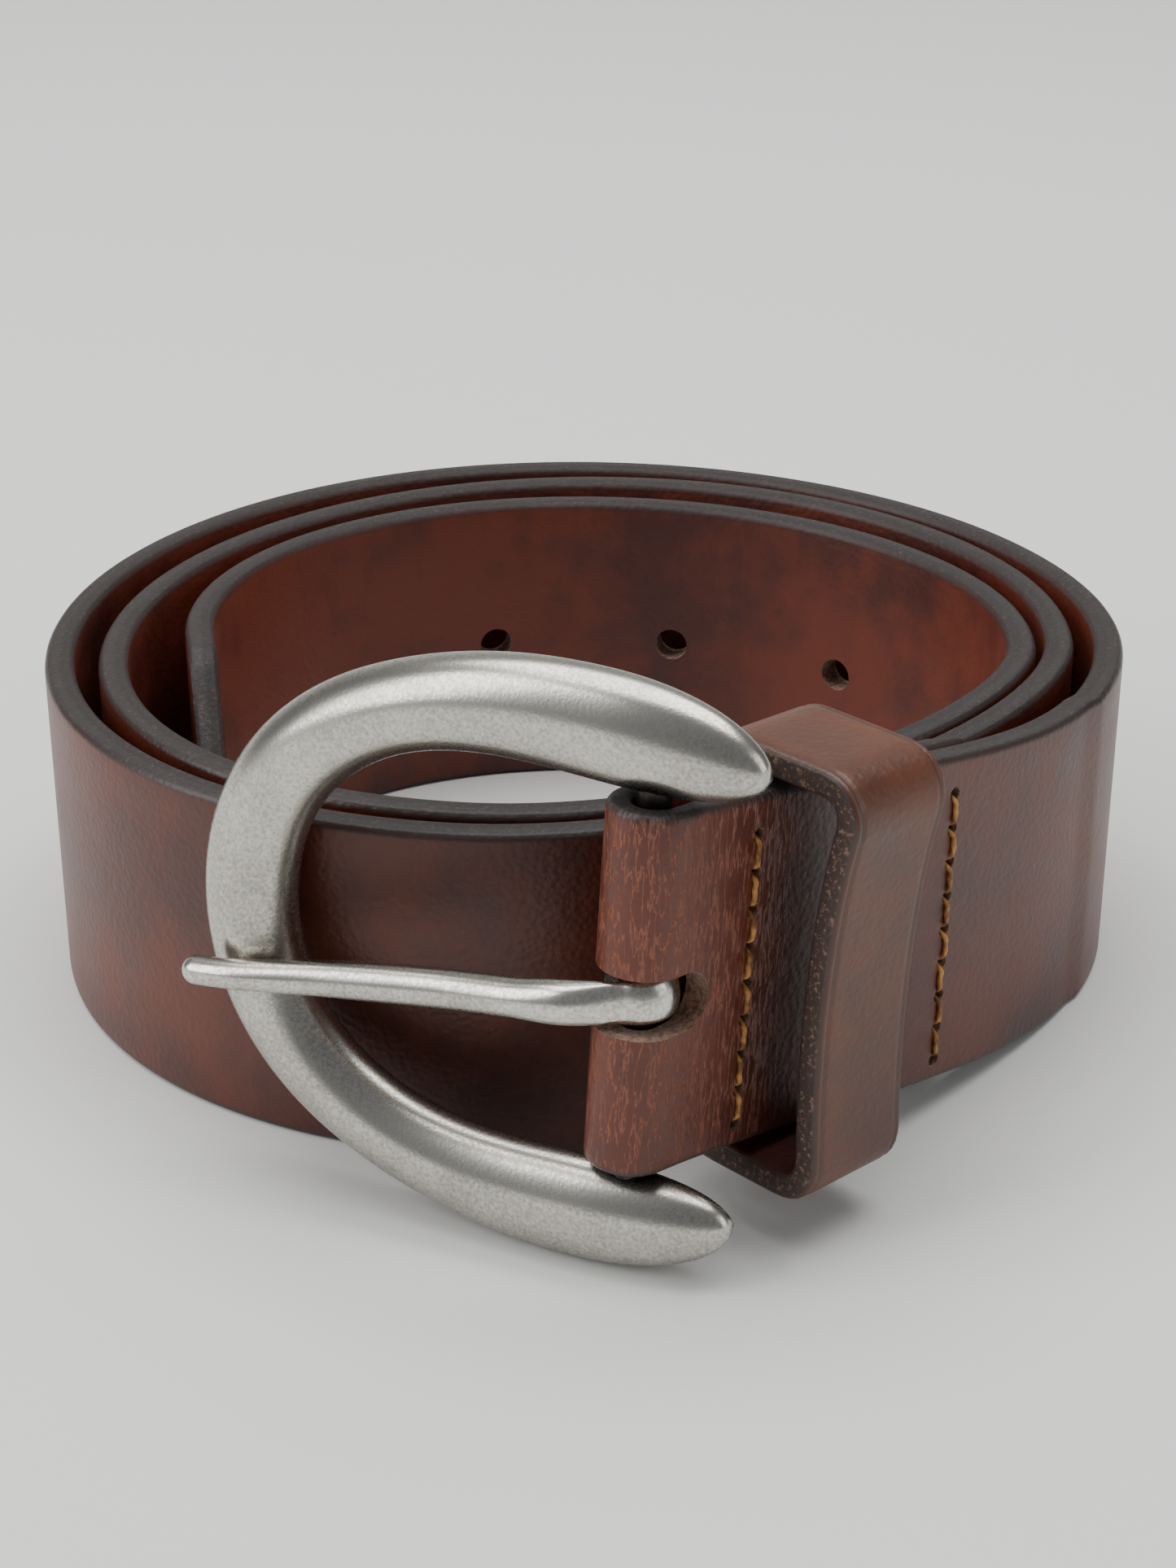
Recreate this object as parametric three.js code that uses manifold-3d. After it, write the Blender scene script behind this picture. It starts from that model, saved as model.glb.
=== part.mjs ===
// A man's leather belt, rolled up and standing on its edge, with its buckle resting on the outside
// of the roll. Millimetres, +Z up, floor at z = 0.
import * as THREE from 'three';
import { mergeVertices } from 'three/addons/utils/BufferGeometryUtils.js';
import Module from 'manifold-3d';

const wasm = await Module();
wasm.setup();

// ---- Driving dimensions ----------------------------------------------------------------------
const clearance = 0.3;          // air between touching pieces

// Strap: one strip of leather, grain side outwards
const strapWidth = 40;
const strapThickness = 3.55;
const foldThickness = 2.6;      // skived where it goes round the bar, and in the turned-back end
const skivedEnd = 1.2;          // thickness of the turned-back end's feathered edge
const edgeRadius = 0.9;         // rounding of the strap's long edges
const tipStraight = 22;         // straight run at the free end
const tipLength = 17;           // length of the pointed tip
const tipFlat = 9;              // width left at the very end of the tip

// Size holes, counted from the tip
const holeCount = 5;
const holeDiameter = 4.4;
const holePitch = 25;
const firstHole = 84;           // from the end of the tip to the first hole

// Roll: distance of the strap's middle line from the roll's centre, measured square to the strap
const rollRadius = 60.5;
const rollOval = { size: 4.45, turn: -4.6 };     // wider than deep
const rollEgg = { size: 0.6, turn: -10 };        // rounder at the back
const rollStart = -28;                           // degrees, where the buckle end leaves the roll
const rollEnd = 910;                             // degrees, where the straight tip starts
const windStart = -40;                           // degrees, from where the winding-in counts
// Air between the turns: a mean, one term once a turn and one twice a turn
const slack = { mean: 0, once: 3.9, onceTurn: 83, twice: 2.95, twiceTurn: -24.5 };
const settle = { mean: 1.45, once: 1.9, onceTurn: -119, twice: 1.9, twiceTurn: 62 };
// The plies and keeper of the buckle end press the inner turns in
const press = { share: 1.1, turn: -51, halfWidth: 46 };   // share of the turned-back ply's thickness

// Buckle end: where the bar stands, and how the folded strap leaves it
const barPlace = new THREE.Vector3(7.1, -rollRadius - 17.1, strapWidth / 2 + 12.6);
const foldHeading = 46;         // degrees from +X, along the strap away from the buckle
const foldSlope = 4.7;          // degrees that the bar leans towards the roll, along the strap
const leadSlope = 7.5;          // degrees that the strap drops as it leaves the fold
const turnBackLength = 51;      // from the bar to the feathered end
const featherLength = 4;        // over which that end thins out
const closeLength = 10;         // over which the two plies come together behind the bar
const leadReach = 24;           // how firmly the strap holds its direction at each end of the lead
const rollReach = 20;

// Buckle frame: a horseshoe with two long arms that reach past the bar
const barDiameter = 3.6;
const noseReach = 45.4;         // bar to the middle of the nose
const armRoom = 1.1;            // between the strap's edges and the insides of the arms
const armWidest = 10;           // bar to the arms' widest place
const tipReach = 11.8;          // how far the arms' tips reach past the bar
const tipInset = 2.3;           // the arms' tips lie this much nearer the middle
const noseWidth = 10.6;
const shoulderWidth = 9.6;
const armWidth = 11.6;
const armSpread = strapWidth / 2 + armRoom + armWidth / 2;   // middle to an arm's middle, at its widest
const tipSpread = armSpread - tipInset;
const frameFront = 4.3;         // metal in front of the bar's axis
const frameBack = 3.0;          // metal behind it
const noseBend = 0.8;           // the nose bends back by this much
const buckleSwing = 71;         // degrees that the buckle is folded back from straight
const frameDrop = 0.2;          // the frame hangs this much below the middle of the strap
const barSocket = 3.2;          // depth of the bar's seat in each arm

// Prong
const prongWidth = 4.6;         // across its eye
const prongPlate = 1.8;         // thickness of the metal round the bar
const prongDiameter = 4.2;      // shank
const prongLength = 50.5;       // bar to tip
const prongBase = 5.2;          // across the shoulder next to the eye
const prongTip = 3.2;
const shoulderReach = 7;        // bar to the shoulder
const shoulderFade = 6;         // over which the shoulder runs into the shank
const prongTilt = 9;            // degrees, it sags towards the lower arm
const prongDrop = 1.0;          // the prong and its slot sit this much below the middle
const prongRise = 1.3;          // the shank stands this much prouder a short way from the eye
const eyeRoom = 0.4;            // air between the bar and the eye
const eyeSweep = 270;           // degrees of metal round the bar
const slotRoom = 1.0;           // air round the eye in the slot
const slotWidth = prongWidth + 2 * slotRoom;     // slot in the fold that the prong swings in
const slotReach = barDiameter / 2 + eyeRoom + prongPlate + slotRoom;   // its end past the bar

// Keeper: a separate leather loop
const keeperWidth = 14;
const keeperThickness = 3.0;
const keeperPlace = 20.5;       // from the bar to the keeper's middle
const keeperGap = 5.3;          // room for the tip, at mid height
const keeperFlare = { top: 2.2, bottom: 0.6 };      // more room for the tip near the loop's corners
const keeperHeadroom = { top: 2.0, bottom: 1.1 };   // air between the strap's edges and the loop
const keeperBackRoom = 1.4;     // behind the plies, where the staple is clinched
const keeperCorner = 4.0;
const stapleSpan = 9;
const stapleWire = 0.8;

// Seams: saddle-stitched rows across the strap, one on each side of the keeper
const seams = { front: 10.9, rear: 44.1 };       // from the bar
const stitchCount = 8;
const stitchPitch = 4.1;
const seamShift = -0.8;         // the rows sit a little below the middle
const threadDiameter = 0.8;
const awlDiameter = 2.2;
const threadDip = 0.9;          // how deep each thread goes into its holes

// Fineness of the rings along each piece
const backSteps = 14;
const foldSteps = 10;
const leadSteps = 18;
const rollStep = 7.5;           // degrees
const stepsPerStitch = 6;
const frameSteps = 48;
const frameSides = 16;
const eyeSteps = 14;
const shankSteps = 26;
const prongSides = 12;
const keeperSteps = 44;
const roundSides = 24;          // around the bar and its seats
const wireSides = 8;
const holeSides = 16;
const threadSides = 6;

// ---- Helpers ---------------------------------------------------------------------------------
const rad = Math.PI / 180;
const up = new THREE.Vector3(0, 0, 1);
const ease = (t) => {
  const c = Math.min(1, Math.max(0, t));
  return c * c * (3 - 2 * c);
};
const mix = (a, b, t) => a + (b - a) * t;
const along = (origin, ...terms) => {
  const p = origin.clone();
  for (const [direction, length] of terms) p.addScaledVector(direction, length);
  return p;
};

// A skin through rings of points; each ring turns left about the direction of travel.
function loft(rings) {
  const sides = rings[0].length;
  const positions = rings.flat().flatMap((p) => [p.x, p.y, p.z]);
  const index = [];
  for (let i = 0; i + 1 < rings.length; i += 1) {
    for (let j = 0; j < sides; j += 1) {
      const a = i * sides + j;
      const b = i * sides + ((j + 1) % sides);
      index.push(a, b, b + sides, a, b + sides, a + sides);
    }
  }
  const last = (rings.length - 1) * sides;
  for (let j = 1; j + 1 < sides; j += 1) {
    index.push(0, j + 1, j);
    index.push(last, last + j, last + j + 1);
  }
  const geometry = new THREE.BufferGeometry();
  geometry.setAttribute('position', new THREE.Float32BufferAttribute(positions, 3));
  geometry.setIndex(index);
  return geometry;
}

// A rounded rectangle: width along `side`, thickness along `face`.
function rectangleRing(centre, side, face, width, thickness, radius, arcSteps = 2) {
  const r = Math.min(radius, thickness / 2 - 0.01, width / 2 - 0.01);
  const ring = [];
  const corners = [[1, 1], [-1, 1], [-1, -1], [1, -1]];
  corners.forEach(([sx, sy], corner) => {
    for (let k = 0; k <= arcSteps; k += 1) {
      const a = (corner + k / arcSteps) * 90 * rad;
      const x = sx * (width / 2 - r) + r * Math.cos(a);
      const y = sy * (thickness / 2 - r) + r * Math.sin(a);
      ring.push(along(centre, [side, x], [face, y]));
    }
  });
  return ring;
}

// An oval whose front and back halves may differ in depth.
function ovalRing(centre, side, face, halfWidth, front, back, sides) {
  const ring = [];
  for (let k = 0; k < sides; k += 1) {
    const a = (2 * Math.PI * k) / sides;
    const depth = Math.sin(a) > 0 ? front : back;
    ring.push(along(centre, [side, halfWidth * Math.cos(a)], [face, depth * Math.sin(a)]));
  }
  return ring;
}

function toSolid(geometry) {
  const bare = geometry.clone();
  bare.deleteAttribute('normal');
  bare.deleteAttribute('uv');
  const merged = mergeVertices(bare, 1e-4);
  return new wasm.Manifold(new wasm.Mesh({
    numProp: 3,
    vertProperties: new Float32Array(merged.attributes.position.array),
    triVerts: new Uint32Array(merged.index.array),
  }));
}

function toGeometry(solid) {
  const mesh = solid.getMesh();
  const geometry = new THREE.BufferGeometry();
  geometry.setAttribute('position', new THREE.BufferAttribute(mesh.vertProperties, 3));
  geometry.setIndex(new THREE.BufferAttribute(mesh.triVerts, 1));
  geometry.computeVertexNormals();
  return geometry;
}

const cut = (geometry, tools) => {
  let solid = toSolid(geometry);
  for (const tool of tools) solid = solid.subtract(toSolid(tool));
  return toGeometry(solid);
};

// A round bar from one point to another.
function rod(start, end, diameter, sides) {
  const axis = end.clone().sub(start);
  const geometry = new THREE.CylinderGeometry(diameter / 2, diameter / 2, axis.length(), sides);
  const turn = new THREE.Quaternion().setFromUnitVectors(new THREE.Vector3(0, 1, 0), axis.clone().normalize());
  geometry.applyQuaternion(turn);
  geometry.translate(...along(start, [axis, 0.5]).toArray());
  return geometry;
}

// ---- The strap's middle line -----------------------------------------------------------------
function rollDistance(turn) {
  const wound = (turn - windStart) / 360;
  const wave = (size, times, at) => size * Math.cos(times * (turn - at) * rad);
  const oval = wave(rollOval.size, 2, rollOval.turn) + wave(rollEgg.size, 3, rollEgg.turn);
  const airFor = (s) => s.mean + wave(s.once, 1, s.onceTurn) + wave(s.twice, 2, s.twiceTurn);
  const woundIn = wound * (strapThickness + airFor(slack)) + wound * (wound - 1) * airFor(settle);
  const fromPress = ((((turn - press.turn + 180) % 360) + 360) % 360) - 180;
  const pressed = wound > 0.5 && Math.abs(fromPress) < press.halfWidth
    ? press.share * foldThickness * (0.5 + 0.5 * Math.cos((Math.PI * fromPress) / press.halfWidth))
    : 0;
  return rollRadius + oval - woundIn - pressed;
}

function rollPoint(turn) {
  const step = 0.01;
  const distance = rollDistance(turn);
  const rate = (rollDistance(turn + step) - rollDistance(turn - step)) / (2 * step * rad);
  const c = Math.cos(turn * rad);
  const s = Math.sin(turn * rad);
  return new THREE.Vector3(distance * c - rate * s, distance * s + rate * c, strapWidth / 2);
}

const headingOf = (degrees) => new THREE.Vector3(Math.cos(degrees * rad), Math.sin(degrees * rad), 0);

// Directions at the bar: along the strap, up the bar, and out of the roll
const foldAlong = headingOf(foldHeading).multiplyScalar(Math.cos(foldSlope * rad))
  .addScaledVector(up, -Math.sin(foldSlope * rad));
const foldUp = up.clone().addScaledVector(foldAlong, -foldAlong.z).normalize();
const foldOut = new THREE.Vector3().crossVectors(foldAlong, foldUp);
const foldRadius = barDiameter / 2 + clearance + foldThickness / 2;

function stationAt(point, direction, uprightHint, thickness) {
  const tangent = direction.clone().normalize();
  const upright = uprightHint.clone().normalize();
  const out = new THREE.Vector3().crossVectors(tangent, upright).normalize();
  return { point, tangent, upright, out, thickness, width: strapWidth };
}

// The lead, from the bar to the roll: its grain face runs straight, so skiving moves the middle line
const leadStart = along(barPlace, [foldOut, foldRadius]);
const leadAlong = headingOf(foldHeading).addScaledVector(up, -Math.tan(leadSlope * rad)).normalize();
const leadEnd = rollPoint(rollStart);
const leadCurve = new THREE.CubicBezierCurve3(
  leadStart,
  along(leadStart, [leadAlong, leadReach]),
  along(leadEnd, [headingOf(rollStart + 90), -rollReach]),
  leadEnd,
);
const leadLength = leadCurve.getLength();

function leadStation(distance) {
  const share = distance / leadLength;
  const point = leadCurve.getPointAt(share);
  const hint = foldUp.clone().lerp(up, ease(share));
  const thickness = mix(foldThickness, strapThickness, ease(distance / closeLength));
  const station = stationAt(point, leadCurve.getTangentAt(share), hint, thickness);
  station.point.addScaledVector(station.out, (foldThickness - station.thickness) / 2);
  return station;
}

// The turned-back ply lies behind the lead, a clearance away once the plies have closed up
function turnBackStation(distance) {
  const lead = leadStation(distance);
  const feathered = ease((distance - turnBackLength + featherLength) / featherLength);
  const thickness = mix(foldThickness, skivedEnd, feathered);
  const closed = (lead.thickness + thickness) / 2 + clearance;
  const open = 2 * foldRadius - (lead.thickness - foldThickness) / 2;
  const apart = mix(open, closed, ease(distance / closeLength));
  return {
    ...lead,
    point: along(lead.point, [lead.out, -apart]),
    tangent: lead.tangent.clone().negate(),
    out: lead.out.clone().negate(),
    thickness,
  };
}

function strapStations() {
  const stations = [];
  for (let i = backSteps; i >= 1; i -= 1) stations.push(turnBackStation((turnBackLength * i) / backSteps));
  for (let i = 0; i <= foldSteps; i += 1) {
    const a = 180 * (1 - i / foldSteps) * rad;
    const out = foldOut.clone().multiplyScalar(Math.cos(a)).addScaledVector(foldAlong, -Math.sin(a));
    stations.push(stationAt(
      along(barPlace, [out, foldRadius]),
      new THREE.Vector3().crossVectors(foldUp, out),
      foldUp,
      foldThickness,
    ));
  }
  for (let i = 1; i < leadSteps; i += 1) stations.push(leadStation((leadLength * i) / leadSteps));
  const rollSteps = Math.round((rollEnd - rollStart) / rollStep);
  for (let i = 0; i <= rollSteps; i += 1) {
    const turn = mix(rollStart, rollEnd, i / rollSteps);
    stations.push(stationAt(rollPoint(turn), headingOf(turn + 90), up, strapThickness));
  }
  const end = stations[stations.length - 1];
  const straightRun = [tipStraight - tipLength, tipStraight - tipLength * 0.5, tipStraight];
  for (const run of straightRun) {
    const station = { ...end, point: along(end.point, [end.tangent, run]) };
    station.width = mix(strapWidth, tipFlat, Math.max(0, (run - tipStraight + tipLength) / tipLength));
    stations.push(station);
  }
  return stations;
}

// Distance back along the strap from its tip gives each size hole
function holeTools(stations) {
  const tools = [];
  let walked = 0;
  let wanted = firstHole;
  for (let i = stations.length - 1; i > 0 && tools.length < holeCount; i -= 1) {
    const here = stations[i].point;
    const step = here.distanceTo(stations[i - 1].point);
    while (walked + step >= wanted && tools.length < holeCount) {
      const centre = here.clone().lerp(stations[i - 1].point, (wanted - walked) / step);
      const { out } = stations[i];
      const [inside, outside] = [-strapThickness, strapThickness].map((depth) => along(centre, [out, depth]));
      tools.push(rod(inside, outside, holeDiameter, holeSides));
      wanted += holePitch;
    }
    walked += step;
  }
  return tools;
}

// The prong's slot is a long hole with round ends, cut through both plies from the outside
function slotTool() {
  const r = slotWidth / 2;
  const outline = new THREE.Shape();
  const far = foldRadius + foldThickness;
  outline.moveTo(-far - r, -r);
  outline.lineTo(slotReach - r, -r);
  outline.absarc(slotReach - r, 0, r, -Math.PI / 2, Math.PI / 2);
  outline.lineTo(-far - r, r);
  const depth = 2 * far;
  const geometry = new THREE.ExtrudeGeometry(outline, { depth, bevelEnabled: false, curveSegments: 12 });
  const basis = new THREE.Matrix4().makeBasis(foldAlong, foldUp, foldOut);
  basis.setPosition(along(barPlace, [foldOut, -depth / 2], [foldUp, -prongDrop]));
  geometry.applyMatrix4(basis);
  return geometry;
}

const stitchHeight = (i) => (stitchCount / 2 - i) * stitchPitch + seamShift;
const stitchHeights = Array.from({ length: stitchCount + 1 }, (_, i) => stitchHeight(i));

function awlTools() {
  const tools = [];
  for (const distance of Object.values(seams)) {
    const lead = leadStation(distance);
    const deep = 2 * strapThickness + foldThickness;
    for (const height of stitchHeights) {
      const centre = along(lead.point, [lead.upright, height]);
      const [inside, outside] = [-deep, strapThickness].map((depth) => along(centre, [lead.out, depth]));
      tools.push(rod(inside, outside, awlDiameter, wireSides));
    }
  }
  return tools;
}

function strapGeometry() {
  const stations = strapStations();
  const rings = stations.map((s) => rectangleRing(s.point, s.upright, s.out, s.width, s.thickness, edgeRadius));
  return cut(loft(rings), [...holeTools(stations), slotTool(), ...awlTools()]);
}

// ---- Threads ---------------------------------------------------------------------------------
// Each seam has one thread on the grain face and one on the flesh face; both dip into every hole.
function threadGeometry(distance, onGrain) {
  const ply = onGrain ? leadStation(distance) : turnBackStation(distance);
  const lead = leadStation(distance);
  const lift = ply.thickness / 2 + clearance + threadDiameter / 2;
  const rings = [];
  const reach = stitchCount * stepsPerStitch;
  const centreAt = (i) => {
    const nearHole = Math.abs(((i / stepsPerStitch + 0.5) % 1) - 0.5) * stitchPitch;
    const dip = (threadDip + clearance + threadDiameter / 2) * (1 - ease(nearHole / (awlDiameter / 4)));
    const height = mix(stitchHeights[0], stitchHeights[stitchCount], i / reach);
    const base = ply.point.clone();
    base.addScaledVector(lead.upright, height);
    return along(base, [ply.out, lift - dip]);
  };
  for (let i = 0; i <= reach; i += 1) {
    const before = centreAt(Math.max(0, i - 1));
    const after = centreAt(Math.min(reach, i + 1));
    const tangent = after.sub(before).normalize();
    const face = new THREE.Vector3().crossVectors(tangent, ply.tangent).normalize();
    const half = threadDiameter / 2;
    rings.push(ovalRing(centreAt(i), ply.tangent, face, half, half, half, threadSides));
  }
  return loft(rings);
}

// ---- Buckle ----------------------------------------------------------------------------------
// Buckle axes: x from the bar to the nose, y out of the roll, z up the bar
const buckleReach = foldAlong.clone().negate().applyAxisAngle(foldUp, -buckleSwing * rad);
const buckleOut = new THREE.Vector3().crossVectors(foldUp, buckleReach);
const buckleBasis = new THREE.Matrix4().makeBasis(buckleReach, buckleOut, foldUp);
buckleBasis.setPosition(barPlace);

function frameMiddle(share) {
  // share runs from -1 at the lower tip to +1 at the upper tip, 0 at the nose
  const bow = new THREE.CubicBezierCurve(
    new THREE.Vector2(noseReach, 0),
    new THREE.Vector2(noseReach, armSpread * 0.6),
    new THREE.Vector2(noseReach * 0.7, armSpread),
    new THREE.Vector2(armWidest, armSpread),
  );
  const arm = new THREE.CubicBezierCurve(
    new THREE.Vector2(armWidest, armSpread),
    new THREE.Vector2(armWidest - 8, armSpread),
    new THREE.Vector2(-tipReach * 0.4, mix(tipSpread, armSpread, 0.7)),
    new THREE.Vector2(-tipReach, tipSpread),
  );
  const bowShare = 0.68;
  const s = Math.abs(share);
  const p = s < bowShare ? bow.getPointAt(s / bowShare) : arm.getPointAt((s - bowShare) / (1 - bowShare));
  const bend = noseBend * (p.x > 0 ? (p.x / noseReach) ** 2 : 0);
  return new THREE.Vector3(p.x, -bend, Math.sign(share || 1) * p.y);
}

function frameGeometry() {
  const roundedEnd = 0.17;      // share of each half over which the tip rounds off
  const front = new THREE.Vector3(0, 1, 0);
  const rings = [];
  for (let i = 0; i <= frameSteps; i += 1) {
    const even = (2 * i) / frameSteps - 1;
    const share = Math.sign(even) * (1 - (1 - Math.abs(even)) ** 1.25);
    const centre = frameMiddle(share);
    const nudge = 1e-3;
    const tangent = frameMiddle(Math.min(1, share + nudge)).sub(frameMiddle(Math.max(-1, share - nudge)));
    tangent.y = 0;
    tangent.normalize();
    const side = new THREE.Vector3().crossVectors(front, tangent);
    const s = Math.abs(share);
    const toShoulder = mix(noseWidth, shoulderWidth, ease(s / 0.4));
    const width = mix(toShoulder, armWidth, ease((s - 0.4) / 0.35));
    const end = Math.max(0, (s - (1 - roundedEnd)) / roundedEnd);
    const round = Math.max(0.12, Math.sqrt(Math.max(0, 1 - end ** 2.4)));
    const back = frameBack * mix(1, round, 0.8);
    const ring = ovalRing(centre, side, front, (width / 2) * round, frameFront * round, back, frameSides);
    rings.push(ring.map((p) => p.setZ(p.z - frameDrop)));
  }
  const barHole = rod(
    new THREE.Vector3(0, 0, -barHalf - clearance - frameDrop),
    new THREE.Vector3(0, 0, barHalf + clearance - frameDrop),
    barDiameter + 2 * clearance,
    roundSides,
  );
  return cut(loft(rings), [barHole]);
}

// The bar ends inside both arms; the frame hangs low, so its seats are centred on the frame
const armInside = armSpread - armWidth / 2;
const barHalf = armInside + barSocket;
const barGeometry = () => rod(
  new THREE.Vector3(0, 0, -barHalf - frameDrop),
  new THREE.Vector3(0, 0, barHalf - frameDrop),
  barDiameter,
  roundSides,
);

// ---- Prong -----------------------------------------------------------------------------------
// An eye bent round the bar runs into a shank that dips into the window and rises over the nose.
const prongReach = buckleReach.clone().applyAxisAngle(buckleOut, prongTilt * rad);
const prongSide = new THREE.Vector3().crossVectors(prongReach, buckleOut);
const prongBasis = new THREE.Matrix4().makeBasis(prongReach, buckleOut, prongSide);
prongBasis.setPosition(along(barPlace, [foldUp, -prongDrop]));

function prongGeometry() {
  const eye = barDiameter / 2 + eyeRoom + prongPlate / 2;
  const overNose = frameFront - noseBend + clearance + prongDiameter / 2;
  const shank = new THREE.CatmullRomCurve3([
    [0, eye],
    [shoulderReach, eye + prongRise],
    [prongLength * 0.4, eye + prongRise * 0.7],
    [prongLength * 0.66, overNose - prongRise],
    [prongLength * 0.88, overNose],
    [prongLength, overNose - clearance],
  ].map(([x, y]) => new THREE.Vector3(x, y, 0)), false, 'centripetal');
  const side = new THREE.Vector3(0, 0, 1);
  const rings = [];
  for (let i = 0; i < eyeSteps; i += 1) {
    const a = (90 + eyeSweep * (1 - i / eyeSteps)) * rad;
    const centre = new THREE.Vector3(eye * Math.cos(a), eye * Math.sin(a), 0);
    const face = centre.clone().normalize().negate();
    rings.push(ovalRing(centre, side, face, prongWidth / 2, prongPlate / 2, prongPlate / 2, prongSides));
  }
  for (let i = 0; i <= shankSteps; i += 1) {
    const share = i / shankSteps;
    const reach = share * prongLength;
    const face = new THREE.Vector3().crossVectors(shank.getTangentAt(share), side);
    const swell = ease(reach / shoulderReach) * (1 - ease((reach - shoulderReach) / shoulderFade));
    const slim = mix(prongDiameter, prongTip, ease((share - 0.5) / 0.45));
    const pastRound = Math.max(0, (reach - prongLength + prongTip / 2) / (prongTip / 2));
    const endRound = Math.sqrt(Math.max(0.04, 1 - pastRound ** 2));
    const wide = mix(prongWidth, slim, ease(reach / shoulderReach)) + swell * (prongBase - prongWidth);
    const deep = mix(prongPlate, slim, ease(reach / shoulderReach)) * endRound;
    const centre = shank.getPointAt(share);
    rings.push(ovalRing(centre, side, face, (wide / 2) * endRound, deep / 2, deep / 2, prongSides));
  }
  return loft(rings);
}

// ---- Keeper ----------------------------------------------------------------------------------
// A strip bent into a loop round both plies; its ends meet behind and a wire staple holds them.
const keeperLead = leadStation(keeperPlace);
const keeperAlong = new THREE.Vector3().crossVectors(keeperLead.upright, keeperLead.out);
const keeperBasis = new THREE.Matrix4().makeBasis(keeperAlong, keeperLead.upright, keeperLead.out);
keeperBasis.setPosition(keeperLead.point);
const keeperBack = -(strapThickness / 2 + clearance + foldThickness + keeperBackRoom + keeperThickness / 2);
const keeperFront = strapThickness / 2 + keeperGap + keeperThickness / 2;
const keeperReach = (room) => strapWidth / 2 + room + keeperThickness / 2;
const keeperTop = keeperReach(keeperHeadroom.top);
const keeperBottom = -keeperReach(keeperHeadroom.bottom);

function keeperPath() {
  const topFront = keeperFront + keeperFlare.top;
  const bottomFront = keeperFront + keeperFlare.bottom;
  const pinch = keeperFront - (keeperFlare.top + keeperFlare.bottom) / 6;
  const r = keeperCorner;
  const joint = clearance / 2;
  const path = new THREE.Path();
  path.moveTo(keeperBack, -joint);
  path.lineTo(keeperBack, keeperBottom + r);
  path.quadraticCurveTo(keeperBack, keeperBottom, keeperBack + r, keeperBottom);
  path.lineTo(bottomFront - r, keeperBottom);
  path.quadraticCurveTo(bottomFront, keeperBottom, bottomFront, keeperBottom + r);
  path.bezierCurveTo(pinch, keeperBottom / 3, pinch, keeperTop / 3, topFront, keeperTop - r);
  path.quadraticCurveTo(topFront, keeperTop, topFront - r, keeperTop);
  path.lineTo(keeperBack + r, keeperTop);
  path.quadraticCurveTo(keeperBack, keeperTop, keeperBack, keeperTop - r);
  path.lineTo(keeperBack, joint);
  return path;
}

// In the keeper's own axes: x along the strap, y up, z out of the roll
const stapleHeights = [-stapleSpan / 2, stapleSpan / 2];

function keeperGeometry() {
  const points = keeperPath().getSpacedPoints(keeperSteps);
  const alongStrap = new THREE.Vector3(1, 0, 0);
  const rings = points.map((point, i) => {
    const before = points[Math.max(0, i - 1)];
    const after = points[Math.min(points.length - 1, i + 1)];
    const tangent = new THREE.Vector3(0, after.y - before.y, after.x - before.x).normalize();
    const face = new THREE.Vector3().crossVectors(tangent, alongStrap);
    const centre = new THREE.Vector3(0, point.y, point.x);
    return rectangleRing(centre, alongStrap, face, keeperWidth, keeperThickness, edgeRadius);
  });
  const holes = stapleHeights.map((height) => rod(
    new THREE.Vector3(0, height, keeperBack - keeperThickness),
    new THREE.Vector3(0, height, keeperBack + keeperThickness),
    stapleWire + 2 * clearance,
    12,
  ));
  return cut(loft(rings), holes);
}

// The staple's crown lies outside the loop and its legs are bent towards each other inside it.
function stapleGeometry() {
  const lift = keeperThickness / 2 + clearance + stapleWire / 2;
  const bend = stapleWire * 0.9;
  const legEnd = stapleSpan * 0.12;
  const half = [];
  half.push([legEnd, lift]);
  half.push([stapleSpan / 2 - bend, lift]);
  half.push([stapleSpan / 2, lift - bend]);
  half.push([stapleSpan / 2, -lift + bend]);
  half.push([stapleSpan / 2 - bend, -lift]);
  const route = [...half, ...half.map(([y, z]) => [-y, z]).reverse()];
  const alongStrap = new THREE.Vector3(1, 0, 0);
  const rings = route.map(([y, z], i) => {
    const [y0, z0] = route[Math.max(0, i - 1)];
    const [y1, z1] = route[Math.min(route.length - 1, i + 1)];
    const tangent = new THREE.Vector3(0, y1 - y0, z1 - z0).normalize();
    const face = new THREE.Vector3().crossVectors(tangent, alongStrap);
    const centre = new THREE.Vector3(0, y, keeperBack + z);
    return ovalRing(centre, alongStrap, face, stapleWire / 2, stapleWire / 2, stapleWire / 2, wireSides);
  });
  return loft(rings);
}

// ---- Assembly --------------------------------------------------------------------------------
const finishes = {
  cognacLeather: { color: 0x5a2415, roughness: 0.45, metalness: 0 },
  orangeThread: { color: 0xb8722e, roughness: 0.8, metalness: 0 },
  antiqueSilver: { color: 0xa8a49c, roughness: 0.35, metalness: 1 },
  steel: { color: 0x6b6964, roughness: 0.4, metalness: 1 },
};

function piece(name, geometry, finish, basis) {
  geometry.computeVertexNormals();
  const mesh = new THREE.Mesh(geometry, new THREE.MeshStandardMaterial(finishes[finish]));
  mesh.name = name;
  if (basis) basis.decompose(mesh.position, mesh.quaternion, mesh.scale);
  return mesh;
}

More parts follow.
